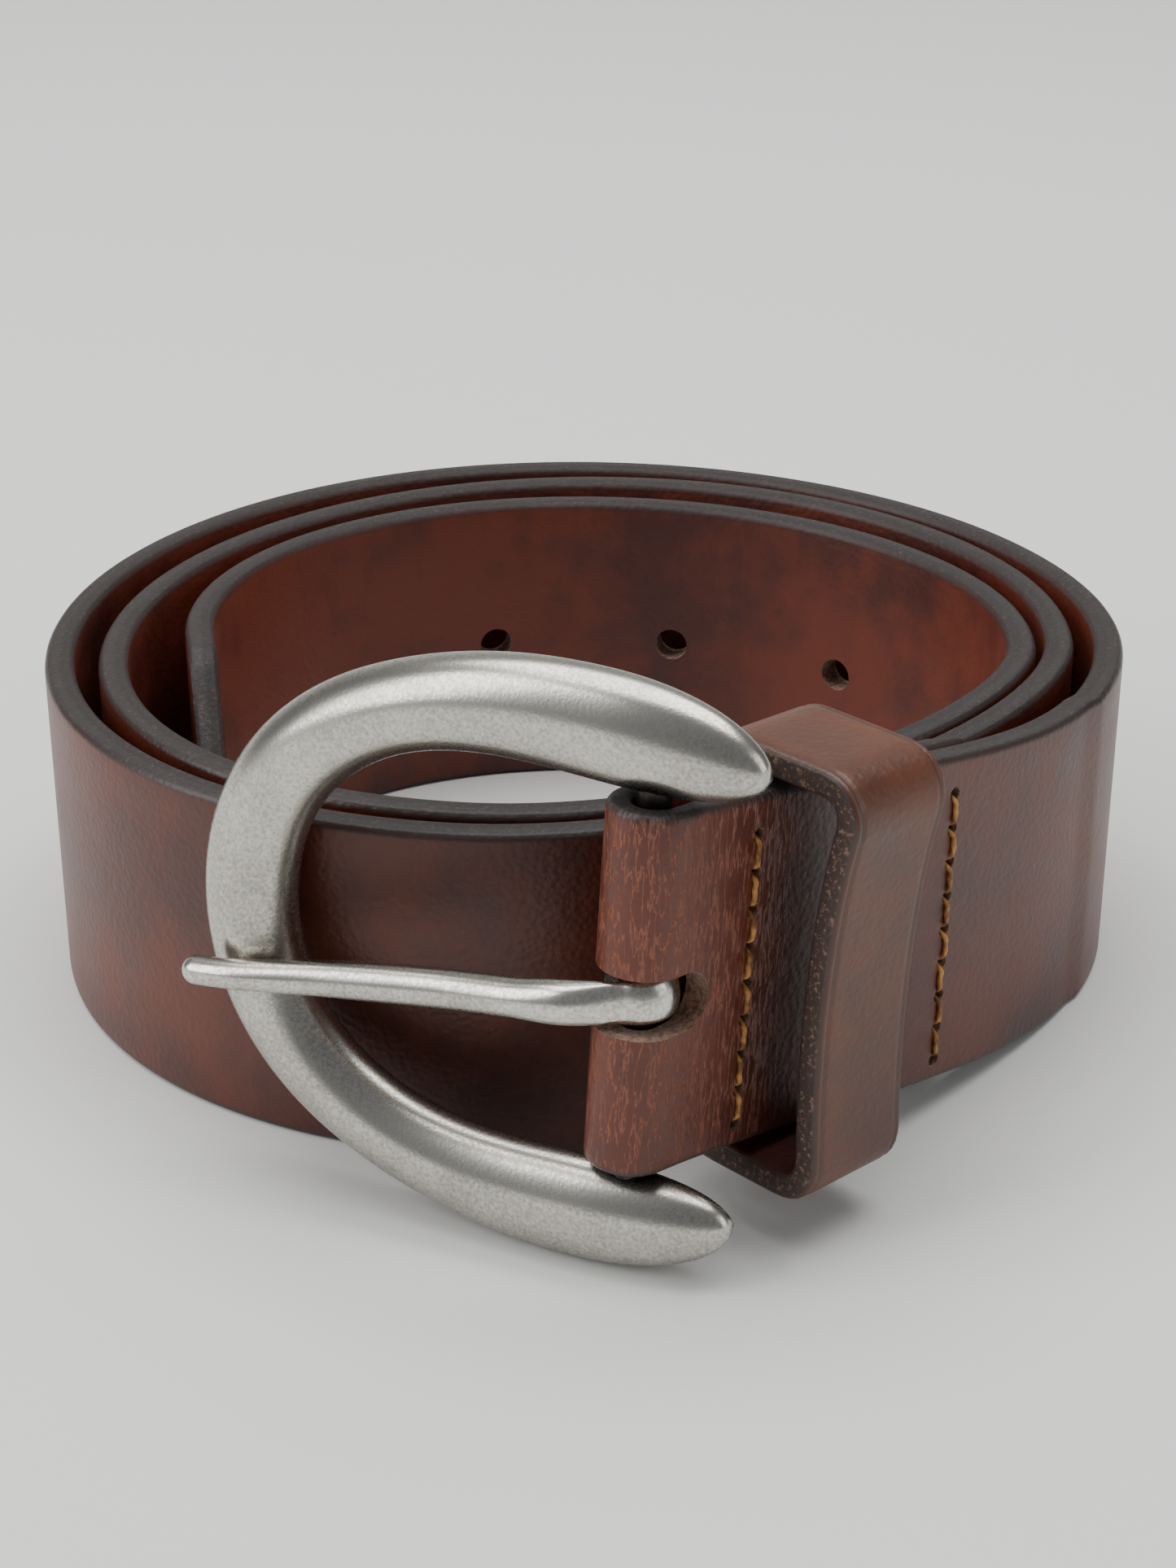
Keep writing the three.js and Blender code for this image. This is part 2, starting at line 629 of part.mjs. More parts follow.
const roll = new THREE.Group();
roll.add(
  piece('strap', strapGeometry(), 'cognacLeather'),
  piece('front_seam_face_thread', threadGeometry(seams.front, true), 'orangeThread'),
  piece('front_seam_back_thread', threadGeometry(seams.front, false), 'orangeThread'),
  piece('rear_seam_face_thread', threadGeometry(seams.rear, true), 'orangeThread'),
  piece('rear_seam_back_thread', threadGeometry(seams.rear, false), 'orangeThread'),
  piece('keeper', keeperGeometry(), 'cognacLeather', keeperBasis),
  piece('keeper_staple', stapleGeometry(), 'steel', keeperBasis),
  piece('buckle_frame', frameGeometry(), 'antiqueSilver', buckleBasis),
  piece('heel_bar', barGeometry(), 'steel', buckleBasis),
  piece('prong', prongGeometry(), 'antiqueSilver', prongBasis),
);

// The strap at the keeper runs along X; the origin is the middle of the footprint, on the floor
roll.rotation.z = -foldHeading * rad;
roll.updateMatrixWorld(true);
const footprint = new THREE.Box3().setFromObject(roll, true);
roll.position.set(
  -(footprint.min.x + footprint.max.x) / 2,
  -(footprint.min.y + footprint.max.y) / 2,
  -footprint.min.z,
);

const belt = new THREE.Group();
belt.add(roll);
belt.updateMatrixWorld(true);

export default belt;
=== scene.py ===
"""A man's leather belt, rolled up on its edge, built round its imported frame.

Shapes are worked out in millimetres in the roll's own axes, and go into the frame in metres.
"""

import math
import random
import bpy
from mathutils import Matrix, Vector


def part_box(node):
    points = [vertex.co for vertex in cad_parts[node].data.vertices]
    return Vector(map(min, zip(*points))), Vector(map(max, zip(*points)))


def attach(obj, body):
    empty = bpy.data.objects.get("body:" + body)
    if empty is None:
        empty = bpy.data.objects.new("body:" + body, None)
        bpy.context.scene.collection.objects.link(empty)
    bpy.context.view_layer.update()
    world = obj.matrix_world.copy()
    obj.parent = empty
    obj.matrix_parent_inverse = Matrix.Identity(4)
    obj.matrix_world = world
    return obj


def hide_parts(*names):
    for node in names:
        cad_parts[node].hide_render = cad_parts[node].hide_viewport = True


bl_info = {
    "name": "Rolled leather belt",
    "version": (1, 0, 0),
    "blender": (4, 5, 0),
    "location": "View3D > Sidebar > Belt",
    "description": "Builds a rolled leather belt with its buckle, keeper and seams",
    "category": "Add Mesh",
}

import bpy
import numpy as np
from bpy.props import FloatProperty, PointerProperty, StringProperty
from mathutils import Matrix, Vector

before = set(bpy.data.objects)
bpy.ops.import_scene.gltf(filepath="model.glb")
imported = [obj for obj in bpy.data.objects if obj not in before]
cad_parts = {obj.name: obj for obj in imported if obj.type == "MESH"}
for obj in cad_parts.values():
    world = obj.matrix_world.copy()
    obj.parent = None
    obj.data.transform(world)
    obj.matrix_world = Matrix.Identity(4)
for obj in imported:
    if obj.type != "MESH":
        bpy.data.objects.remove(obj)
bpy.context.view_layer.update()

# ---- Sizes that the frame holds, in millimetres and degrees --------------------------------------
STRAP_WIDTH = 40
STRAP_THICKNESS = 3.55
FOLD_THICKNESS = 2.6
SKIVED_END = 1.2
TIP_STRAIGHT, TIP_LENGTH, TIP_FLAT = 22, 17, 9
HOLE_COUNT, HOLE_DIAMETER, HOLE_PITCH, FIRST_HOLE = 5, 4.4, 25, 84
CLEARANCE = 0.3

ROLL_RADIUS = 60.5
ROLL_START, ROLL_END, WIND_START = -28, 910, -40
# Each wave is (size, times a turn, where it peaks)
ROLL_WAVES = ((4.45, 2, -4.6), (0.6, 3, -10))
SLACK = (0, (3.9, 1, 83), (2.95, 2, -24.5))
SETTLE = (1.45, (1.9, 1, -119), (1.9, 2, 62))
PRESS_SHARE, PRESS_TURN, PRESS_HALF = 1.1, -51, 46

BAR_PLACE = Vector((7.1, -77.6, 32.6))
BAR_DIAMETER = 3.6
FOLD_HEADING, FOLD_SLOPE, LEAD_SLOPE = 46, 4.7, 7.5
TURN_BACK, FEATHER, CLOSE = 51, 4, 10
LEAD_REACH, ROLL_REACH = 24, 20

NOSE_REACH, ARM_SPREAD, ARM_WIDEST = 45.4, 26.9, 10
TIP_REACH, TIP_SPREAD = 11.8, 24.6
NOSE_WIDTH, SHOULDER_WIDTH, ARM_WIDTH = 10.6, 9.6, 11.6
FRAME_FRONT, FRAME_BACK, NOSE_BEND = 4.3, 3.0, 0.8
BUCKLE_SWING, FRAME_DROP = 71, 0.2

PRONG_WIDTH, PRONG_PLATE, PRONG_DIAMETER, PRONG_LENGTH = 4.6, 1.8, 4.2, 50.5
PRONG_BASE, PRONG_TIP, PRONG_TILT, PRONG_DROP, PRONG_RISE = 5.2, 3.2, 9, 1.0, 1.3
SHOULDER_REACH, SHOULDER_FADE = 7, 6
EYE_ROOM, EYE_SWEEP = 0.4, 270
SLOT_WIDTH, SLOT_REACH = 6.6, 5.0

KEEPER_WIDTH, KEEPER_THICKNESS, KEEPER_PLACE = 14, 3.0, 20.5
KEEPER_GAP, KEEPER_BACK_ROOM, KEEPER_CORNER = 5.3, 1.4, 4.0
KEEPER_FLARE = (2.2, 0.6)
KEEPER_HEADROOM = (2.0, 1.1)

SEAMS = {"front": 10.9, "rear": 44.1}
STITCH_COUNT, STITCH_PITCH, SEAM_SHIFT = 8, 4.1, -0.8
THREAD_DIAMETER, AWL_DIAMETER, THREAD_DIP = 0.8, 2.2, 0.9


# ---- Small sums ----------------------------------------------------------------------------------
def ease(t):
    c = min(1.0, max(0.0, t))
    return c * c * (3 - 2 * c)


def mix(a, b, t):
    return a + (b - a) * t


def heading(degrees):
    return Vector((math.cos(math.radians(degrees)), math.sin(math.radians(degrees)), 0))


def bezier(*points):
    """Points along a curve with these handles, close together."""
    points = [Vector(p) for p in points]
    line = []
    for i in range(401):
        row = points
        while len(row) > 1:
            row = [a.lerp(b, i / 400) for a, b in zip(row, row[1:])]
        line.append(row[0])
    return line


def through(points):
    """A smooth path through points, taking each span at the root of its length."""
    points = [Vector(p) for p in points]
    points = [2 * points[0] - points[1], *points, 2 * points[-1] - points[-2]]
    line = []
    for p0, p1, p2, p3 in zip(points, points[1:], points[2:], points[3:]):
        d = [max((b - a).length ** 0.5, 1e-4) for a, b in ((p0, p1), (p1, p2), (p2, p3))]
        t1 = ((p1 - p0) / d[0] - (p2 - p0) / (d[0] + d[1]) + (p2 - p1) / d[1]) * d[1]
        t2 = ((p2 - p1) / d[1] - (p3 - p1) / (d[1] + d[2]) + (p3 - p2) / d[2]) * d[1]
        for i in range(80):
            t = i / 80
            line.append(
                p1 * (2 * t**3 - 3 * t**2 + 1) + t1 * (t**3 - 2 * t**2 + t)
                + p2 * (3 * t**2 - 2 * t**3) + t2 * (t**3 - t**2)
            )
    return line + [points[-2]]


class Path:
    """A line that is asked for places by their distance along it."""

    def __init__(self, line):
        self.line = np.array([tuple(p) for p in line])
        steps = np.linalg.norm(np.diff(self.line, axis=0), axis=1)
        self.line = self.line[np.concatenate(([True], steps > 1e-9))]
        steps = np.linalg.norm(np.diff(self.line, axis=0), axis=1)
        self.far = np.concatenate(([0], np.cumsum(steps)))
        self.length = self.far[-1]

    def at(self, distance):
        return Vector([np.interp(distance, self.far, column) for column in self.line.T])

    def along(self, distance, nudge=0.05):
        low, high = max(0, distance - nudge), min(self.length, distance + nudge)
        return (self.at(high) - self.at(low)).normalized()


# ---- The strap's middle line ---------------------------------------------------------------------
def roll_distance(turn):
    wound = (turn - WIND_START) / 360

    def wave(size, times, peak):
        return size * math.cos(math.radians(times * (turn - peak)))

    def air(mean, *waves):
        return mean + sum(wave(*w) for w in waves)

    wound_in = wound * (STRAP_THICKNESS + air(*SLACK)) + wound * (wound - 1) * air(*SETTLE)
    off = (turn - PRESS_TURN + 180) % 360 - 180
    pressed = 0.0
    if wound > 0.5 and abs(off) < PRESS_HALF:
        pressed = PRESS_SHARE * FOLD_THICKNESS * (0.5 + 0.5 * math.cos(math.pi * off / PRESS_HALF))
    return ROLL_RADIUS + sum(wave(*w) for w in ROLL_WAVES) - wound_in - pressed


def roll_point(turn):
    step = 0.01
    rate = (roll_distance(turn + step) - roll_distance(turn - step)) / math.radians(2 * step)
    far, c, s = roll_distance(turn), math.cos(math.radians(turn)), math.sin(math.radians(turn))
    return Vector((far * c - rate * s, far * s + rate * c, STRAP_WIDTH / 2))


UP = Vector((0, 0, 1))
SLOPE = math.radians(FOLD_SLOPE)
FOLD_ALONG = heading(FOLD_HEADING) * math.cos(SLOPE) - UP * math.sin(SLOPE)
FOLD_UP = (UP - FOLD_ALONG * FOLD_ALONG.z).normalized()
FOLD_OUT = FOLD_ALONG.cross(FOLD_UP)
FOLD_RADIUS = BAR_DIAMETER / 2 + CLEARANCE + FOLD_THICKNESS / 2

# From the roll's own axes, in millimetres, to the frame's, in metres
TURN = Matrix.Rotation(math.radians(-FOLD_HEADING), 4, "Z")
_low, _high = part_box("heel_bar")
_bar = (Vector(_low) + Vector(_high)) / 2
PLACE = Matrix.Translation(_bar) @ Matrix.Scale(0.001, 4) @ TURN @ Matrix.Translation(
    FOLD_UP * FRAME_DROP - BAR_PLACE
)

LEAD_START = BAR_PLACE + FOLD_OUT * FOLD_RADIUS
LEAD_ALONG = (heading(FOLD_HEADING) - UP * math.tan(math.radians(LEAD_SLOPE))).normalized()
LEAD_END = roll_point(ROLL_START)
LEAD = Path(bezier(
    LEAD_START,
    LEAD_START + LEAD_ALONG * LEAD_REACH,
    LEAD_END - heading(ROLL_START + 90) * ROLL_REACH,
    LEAD_END,
))


class Station:
    """A place on the strap: its middle, its three directions and its section's size."""

    def __init__(self, point, tangent, upright, thickness, run, width=STRAP_WIDTH):
        self.point, self.tangent, self.upright = point, tangent.normalized(), upright.normalized()
        self.out = self.tangent.cross(self.upright).normalized()
        self.thickness, self.width, self.run = thickness, width, run


def lead_station(distance):
    thickness = mix(FOLD_THICKNESS, STRAP_THICKNESS, ease(distance / CLOSE))
    upright = FOLD_UP.lerp(UP, ease(distance / LEAD.length))
    station = Station(LEAD.at(distance), LEAD.along(distance), upright, thickness, distance)
    station.point = station.point + station.out * (FOLD_THICKNESS - thickness) / 2
    return station


def turn_back_station(distance):
    lead = lead_station(distance)
    thickness = mix(FOLD_THICKNESS, SKIVED_END, ease((distance - TURN_BACK + FEATHER) / FEATHER))
    closed = (lead.thickness + thickness) / 2 + CLEARANCE
    opened = 2 * FOLD_RADIUS - (lead.thickness - FOLD_THICKNESS) / 2
    apart = mix(opened, closed, ease(distance / CLOSE))
    point = lead.point - lead.out * apart
    return Station(point, -lead.tangent, lead.upright, thickness, -distance)


def strap_stations(step):
    """Places from the turned-back end, round the bar, into the roll and out to the tip."""
    stations = []
    count = round(TURN_BACK / step)
    stations += [turn_back_station(TURN_BACK * i / count) for i in range(count, 0, -1)]
    for i in range(25):
        a = math.pi * (1 - i / 24)
        out = FOLD_OUT * math.cos(a) - FOLD_ALONG * math.sin(a)
        run = (i / 12 - 1) * 5
        stations.append(
            Station(BAR_PLACE + out * FOLD_RADIUS, FOLD_UP.cross(out), FOLD_UP, FOLD_THICKNESS, run)
        )
    count = round(LEAD.length / step)
    stations += [lead_station(LEAD.length * i / count) for i in range(1, count)]
    run = LEAD.length
    before = LEAD_END
    turns = int((ROLL_END - ROLL_START) / (step * 0.95))
    for i in range(turns + 1):
        turn = mix(ROLL_START, ROLL_END, i / turns)
        point = roll_point(turn)
        run += (point - before).length
        before = point
        stations.append(Station(point, heading(turn + 90), UP, STRAP_THICKNESS, run))
    end = stations[-1]
    for i in range(1, 13):
        out = TIP_STRAIGHT * i / 12
        width = mix(STRAP_WIDTH, TIP_FLAT, max(0, (out - TIP_STRAIGHT + TIP_LENGTH) / TIP_LENGTH))
        point = end.point + end.tangent * out
        stations.append(Station(point, end.tangent, UP, STRAP_THICKNESS, run + out, width))
    return stations


# ---- Making meshes -------------------------------------------------------------------------------
def strip_section(width, thickness, radius, across_steps, corner_steps=4):
    """(across, depth) points round a strip of leather, from its upper edge over the grain face."""
    r = min(radius, thickness / 2 - 0.01, width / 2 - 0.01)
    points = []
    for corner, (sx, sy) in enumerate(((1, 1), (-1, 1), (-1, -1), (1, -1))):
        for k in range(corner_steps + 1):
            a = math.radians(90 * (corner + k / corner_steps))
            across = sx * (width / 2 - r) + r * math.cos(a)
            points.append((across, sy * (thickness / 2 - r) + r * math.sin(a)))
        if corner in (0, 2):
            for k in range(1, across_steps):
                across = sx * mix(1, -1, k / across_steps) * (width / 2 - r)
                points.append((across, sy * thickness / 2))
    return points


def oval_section(half_width, front, back, sides, lobes=0, depth=0.0, phase=0.0):
    """Points round an oval; lobes make it a twist of strands."""
    points = []
    for k in range(sides):
        a = 2 * math.pi * k / sides
        swell = 1 + depth * (math.cos(lobes * a + phase) - 1) if lobes else 1
        reach = front if math.sin(a) > 0 else back
        points.append((half_width * math.cos(a) * swell, reach * math.sin(a) * swell))
    return points


def ring(centre, side, face, section):
    return [centre + side * x + face * y for x, y in section]


def loft(rings):
    """Corners and faces of a closed skin through rings of points."""
    sides = len(rings[0])
    corners = [p for r in rings for p in r]
    faces = []
    for i in range(len(rings) - 1):
        for j in range(sides):
            a, b = i * sides + j, i * sides + (j + 1) % sides
            faces.append((a, b, b + sides, a + sides))
    last = (len(rings) - 1) * sides
    faces.append(tuple(reversed(range(sides))))
    faces.append(tuple(range(last, last + sides)))
    return corners, faces


def make_mesh(name, corners, faces, place, maps=None, material_index=0):
    """A mesh in the frame's metres; maps gives each corner's place in each named map."""
    mesh = bpy.data.meshes.new(name)
    mesh.from_pydata([tuple(place @ p) for p in corners], [], faces)
    order = np.zeros(len(mesh.loops), np.int32)
    mesh.loops.foreach_get("vertex_index", order)
    for title, values in (maps or {}).items():
        layer = mesh.uv_layers.new(name=title)
        layer.data.foreach_set("uv", np.asarray(values, np.float32)[order].ravel())
    mesh.polygons.foreach_set("material_index", [material_index] * len(faces))
    mesh.polygons.foreach_set("use_smooth", [True] * len(faces))
    mesh.update()
    return mesh


def add_object(name, mesh, materials=()):
    obj = bpy.data.objects.new(name, mesh)
    for material in materials:
        mesh.materials.append(material)
    bpy.context.scene.collection.objects.link(obj)
    return obj


def finish_piece(obj, body, nodes, sharp=50):
    obj.data.set_sharp_from_angle(angle=math.radians(sharp))
    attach(obj, body)
    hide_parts(*nodes)
    return obj


def cylinder_tool(start, end, diameter, sides=24):
    axis = (end - start).normalized()
    side = axis.orthogonal().normalized()
    face = axis.cross(side)
    section = oval_section(diameter / 2, diameter / 2, diameter / 2, sides)
    return loft([ring(start, side, face, section), ring(end, side, face, section)])


def join_parts(parts):
    corners, faces = [], []
    for part_corners, part_faces in parts:
        faces += [tuple(i + len(corners) for i in f) for f in part_faces]
        corners += part_corners
    return corners, faces


def cut_away(obj, tool):
    """Cuts the tool out of the piece for good and removes the tool."""
    cut = obj.modifiers.new("cut", "BOOLEAN")
    cut.operation, cut.solver, cut.object = "DIFFERENCE", "EXACT", tool
    cut.material_mode = "INDEX"
    evaluated = obj.evaluated_get(bpy.context.evaluated_depsgraph_get())
    mesh = bpy.data.meshes.new_from_object(evaluated)
    obj.modifiers.clear()
    obj.data = mesh
    bpy.data.objects.remove(tool)


# ---- Materials -----------------------------------------------------------------------------------
def linear(hex_code):
    """An sRGB hex colour as linear light."""
    parts = [int(hex_code.lstrip("#")[i:i + 2], 16) / 255 for i in (0, 2, 4)]
    light = [p / 12.92 if p <= 0.04045 else ((p + 0.055) / 1.055) ** 2.4 for p in parts]
    return (*light, 1.0)


def add_node(tree, kind, inputs=None, **settings):
    """One node: its settings, then for each input a number, a colour or another node's output."""
    node = tree.nodes.new(kind)
    for key, value in settings.items():
        setattr(node, key, value)
    for key, value in (inputs or {}).items():
        if isinstance(value, bpy.types.NodeSocket):
            tree.links.new(value, node.inputs[key])
        else:
            node.inputs[key].default_value = value
    return node


def new_material(name):
    material = bpy.data.materials.new(name)
    material.use_nodes = True
    tree = material.node_tree
    tree.nodes.clear()
    shader = add_node(tree, "ShaderNodeBsdfPrincipled")
    add_node(tree, "ShaderNodeOutputMaterial", {"Surface": shader.outputs[0]})
    return material, tree, shader


def leather(name, colours, wrinkled=True, crease=0.0):
    """Vegetable-tanned cowhide, oiled and drum-dyed: a soft shine over a fine pebbled grain, and
    a painted highlight, a paler colour, on the crease ridges where it bends. Its edges are inked
    and burnished dark."""
    material, tree, shader = new_material(name)
    smooth = {"interpolation_type": "SMOOTHSTEP"}
    to_fade = {"To Min": 1.0, "To Max": 0.0}

    place = add_node(tree, "ShaderNodeTexCoord").outputs["Object"]
    run = add_node(tree, "ShaderNodeUVMap", uv_map="run").outputs[0]
    section = add_node(tree, "ShaderNodeUVMap", uv_map="section").outputs[0]
    depth, side = add_node(tree, "ShaderNodeSeparateXYZ", {0: section}).outputs[:2]
    across = add_node(tree, "ShaderNodeMath", {0: side}, operation="ABSOLUTE").outputs[0]
    along = add_node(tree, "ShaderNodeSeparateXYZ", {0: run}).outputs[0]
    from_bend = add_node(tree, "ShaderNodeMath", {0: along}, operation="ABSOLUTE").outputs[0]
    bend = add_node(tree, "ShaderNodeMapRange", {
        "Value": from_bend, "From Min": 0.010, "From Max": 0.019, **to_fade,
    }, **smooth).outputs[0]

    # Dye lies in clouds 30 mm across, with smaller ones 6 mm across
    clouds = add_node(tree, "ShaderNodeTexNoise", {
        "Vector": place, "Scale": 33, "Detail": 4, "Roughness": 0.55,
    }).outputs["Fac"]
    spots = add_node(tree, "ShaderNodeTexNoise", {
        "Vector": place, "Scale": 160, "Detail": 3, "Roughness": 0.55,
    }).outputs["Fac"]
    clouds_share = add_node(tree, "ShaderNodeMath", {0: clouds, 1: 0.75}, operation="MULTIPLY")
    dye = add_node(tree, "ShaderNodeMath", {
        0: spots, 1: 0.35, 2: clouds_share.outputs[0],
    }, operation="MULTIPLY_ADD").outputs[0]
    dyed = add_node(tree, "ShaderNodeMapRange", {
        "Value": dye, "From Min": 0.36, "From Max": 0.74,
    }, **smooth).outputs[0]
    grain_colour = add_node(tree, "ShaderNodeMix", {
        0: dyed, 6: colours["deep"], 7: colours["bright"],
    }, data_type="RGBA").outputs[2]

    # Grain: pebbles 0.7 mm across
    pebbles = add_node(tree, "ShaderNodeTexVoronoi", {
        "Vector": place, "Scale": 1400, "Randomness": 1.0,
    }, feature="SMOOTH_F1").outputs["Distance"]
    fine = add_node(tree, "ShaderNodeTexNoise", {
        "Vector": place, "Scale": 2600, "Detail": 2, "Roughness": 0.55,
    }).outputs["Fac"]
    pebbled = add_node(tree, "ShaderNodeMath", {0: pebbles, 1: 0.7}, operation="MULTIPLY")
    relief = add_node(tree, "ShaderNodeMath", {
        0: fine, 1: 0.25, 2: pebbled.outputs[0],
    }, operation="MULTIPLY_ADD").outputs[0]

    # Across a bend the grain draws into short upright creases, 1.1 mm apart and some 6 mm long
    if wrinkled:
        tall = add_node(tree, "ShaderNodeMapping", {"Vector": run, "Scale": (1250, 150, 1)})
        creases = add_node(tree, "ShaderNodeTexNoise", {
            "Vector": tall.outputs[0], "Scale": 1.0, "Detail": 4, "Roughness": 0.6,
        }).outputs["Fac"]
        middle = add_node(tree, "ShaderNodeMath", {0: creases, 1: 0.5}, operation="SUBTRACT")
        from_middle = add_node(tree, "ShaderNodeMath", {0: middle.outputs[0]}, operation="ABSOLUTE")
        crease_lines = add_node(tree, "ShaderNodeMapRange", {
            "Value": from_middle.outputs[0], "From Min": 0.0, "From Max": 0.035, **to_fade,
        }, **smooth).outputs[0]
        highlit_creases = add_node(
            tree, "ShaderNodeMath", {0: crease_lines, 1: bend}, operation="MULTIPLY").outputs[0]
        # Painted highlight: the crease ridges at the bend are painted paler, standing in for the
        # light they catch
        paler = add_node(tree, "ShaderNodeMath", {0: highlit_creases, 1: 0.6}, operation="MULTIPLY")
        grain_colour = add_node(tree, "ShaderNodeMix", {
            0: paler.outputs[0], 6: grain_colour, 7: colours["highlit_creases"],
        }, data_type="RGBA").outputs[2]
        relief = add_node(tree, "ShaderNodeMath", {
            0: highlit_creases, 1: 1.2, 2: relief,
        }, operation="MULTIPLY_ADD").outputs[0]

    # The flesh side is dyed too, smoother, mottled, with streaks that run up the strap's width
    up_streaks = add_node(tree, "ShaderNodeMapping", {"Vector": run, "Scale": (260, 22, 1)})
    streaks = add_node(tree, "ShaderNodeTexNoise", {
        "Vector": up_streaks.outputs[0], "Scale": 1.0, "Detail": 3, "Roughness": 0.55,
    }).outputs["Fac"]
    dyed_share = add_node(tree, "ShaderNodeMath", {0: dyed, 1: 0.5}, operation="MULTIPLY")
    mottle = add_node(tree, "ShaderNodeMath", {
        0: streaks, 1: 0.22, 2: dyed_share.outputs[0],
    }, operation="MULTIPLY_ADD").outputs[0]
    mottled = add_node(tree, "ShaderNodeMapRange", {
        "Value": mottle, "From Min": 0.1, "From Max": 0.6,
    }, **smooth).outputs[0]
    flesh_colour = add_node(tree, "ShaderNodeMix", {
        0: mottled, 6: colours["flesh_deep"], 7: colours["flesh_bright"],
    }, data_type="RGBA").outputs[2]
    on_flesh = add_node(tree, "ShaderNodeMapRange", {
        "Value": depth, "From Min": -0.2, "From Max": 0.2, **to_fade,
    }, **smooth).outputs[0]
    colour = add_node(tree, "ShaderNodeMix", {
        0: on_flesh, 6: grain_colour, 7: flesh_colour,
    }, data_type="RGBA").outputs[2]

    # Dark ink creeps 1 mm over each face from the edge
    inked = add_node(tree, "ShaderNodeMath", {
        0: spots, 1: 0.03, 2: across,
    }, operation="MULTIPLY_ADD").outputs[0]
    near_edge = add_node(tree, "ShaderNodeMapRange", {
        "Value": inked, "From Min": 0.955, "From Max": 1.0,
    }, **smooth).outputs[0]
    ink = add_node(tree, "ShaderNodeMath", {0: near_edge, 1: 0.85}, operation="MULTIPLY").outputs[0]
    colour = add_node(tree, "ShaderNodeMix", {
        0: ink, 6: colour, 7: colours["edge_dark"],
    }, data_type="RGBA").outputs[2]
    # Painted shade: a dark line in the edge ink's colour laid along the pressed crease, standing in
    # for the shade in its shallow groove
    if crease:
        past = add_node(tree, "ShaderNodeMath", {0: across, 1: crease}, operation="SUBTRACT")
        off = add_node(tree, "ShaderNodeMath", {0: past.outputs[0]}, operation="ABSOLUTE")
        pressed = add_node(tree, "ShaderNodeMapRange", {
            "Value": off.outputs[0], "From Min": 0.01, "From Max": 0.05, **to_fade,
        }, **smooth).outputs[0]
        painted_crease_shade = add_node(tree, "ShaderNodeMath", {0: pressed, 1: 0.7}, operation="MULTIPLY")
        colour = add_node(tree, "ShaderNodeMix", {
            0: painted_crease_shade.outputs[0], 6: colour, 7: colours["edge_dark"],
        }, data_type="RGBA").outputs[2]

    # The edge itself: burnished ink with paler specks
    speck = add_node(tree, "ShaderNodeTexNoise", {
        "Vector": place, "Scale": 1700, "Detail": 4, "Roughness": 0.75,
    }).outputs["Fac"]
    specked = add_node(tree, "ShaderNodeMapRange", {
        "Value": speck, "From Min": 0.52, "From Max": 0.68,
    }, **smooth).outputs[0]
    edge_colour = add_node(tree, "ShaderNodeMix", {
        0: specked, 6: colours["edge_dark"], 7: colours["edge_pale"],
    }, data_type="RGBA").outputs[2]
    far_across = add_node(tree, "ShaderNodeMapRange", {
        "Value": across, "From Min": 0.985, "From Max": 0.998,
    }, **smooth).outputs[0]
    off_middle = add_node(tree, "ShaderNodeMath", {0: depth}, operation="ABSOLUTE").outputs[0]
    off_faces = add_node(tree, "ShaderNodeMapRange", {
        "Value": off_middle, "From Min": 0.82, "From Max": 0.95, **to_fade,
    }, **smooth).outputs[0]
    on_edge = add_node(
        tree, "ShaderNodeMath", {0: far_across, 1: off_faces}, operation="MULTIPLY").outputs[0]
    colour = add_node(tree, "ShaderNodeMix", {
        0: on_edge, 6: colour, 7: edge_colour,
    }, data_type="RGBA").outputs[2]
    tree.links.new(colour, shader.inputs["Base Color"])

    shine = add_node(tree, "ShaderNodeMath", {
        0: spots, 1: 0.16, 2: 0.36,
    }, operation="MULTIPLY_ADD").outputs[0]
    shine = add_node(tree, "ShaderNodeMath", {
        0: on_flesh, 1: 0.14, 2: shine,
    }, operation="MULTIPLY_ADD").outputs[0]
    shine = add_node(tree, "ShaderNodeMath", {
        0: on_edge, 1: 0.16, 2: shine,
    }, operation="MULTIPLY_ADD").outputs[0]
    tree.links.new(shine, shader.inputs["Roughness"])
    shader.inputs["IOR"].default_value = 1.5
    shader.inputs["Coat Weight"].default_value = 0.08
    shader.inputs["Coat Roughness"].default_value = 0.3

    edge_specks = add_node(
        tree, "ShaderNodeMath", {0: speck, 1: on_edge}, operation="MULTIPLY").outputs[0]
    relief = add_node(tree, "ShaderNodeMath", {
        0: edge_specks, 1: 1.6, 2: relief,
    }, operation="MULTIPLY_ADD").outputs[0]
    bump = add_node(tree, "ShaderNodeBump", {
        "Strength": 0.45, "Distance": 0.00022, "Height": relief,
    })
    tree.links.new(bump.outputs[0], shader.inputs["Normal"])
    return material


def raw_leather(name, dark, pale):
    """Cut leather left raw: matt, fuzzy fibres 0.2 mm across, paler than the dyed faces."""
    material, tree, shader = new_material(name)
    place = add_node(tree, "ShaderNodeTexCoord").outputs["Object"]
    fibres = add_node(tree, "ShaderNodeTexNoise", {
        "Vector": place, "Scale": 1900, "Detail": 4, "Roughness": 0.7,
    }).outputs["Fac"]
    share = add_node(tree, "ShaderNodeMapRange", {
        "Value": fibres, "From Min": 0.38, "From Max": 0.64,
    }).outputs[0]
    colour = add_node(tree, "ShaderNodeMix", {
        0: share, 6: dark, 7: pale,
    }, data_type="RGBA").outputs[2]
    tree.links.new(colour, shader.inputs["Base Color"])
    shader.inputs["Roughness"].default_value = 0.9
    shader.inputs["Sheen Weight"].default_value = 0.25
    bump = add_node(tree, "ShaderNodeBump", {"Strength": 0.8, "Distance": 0.0004, "Height": fibres})
    tree.links.new(bump.outputs[0], shader.inputs["Normal"])
    return material


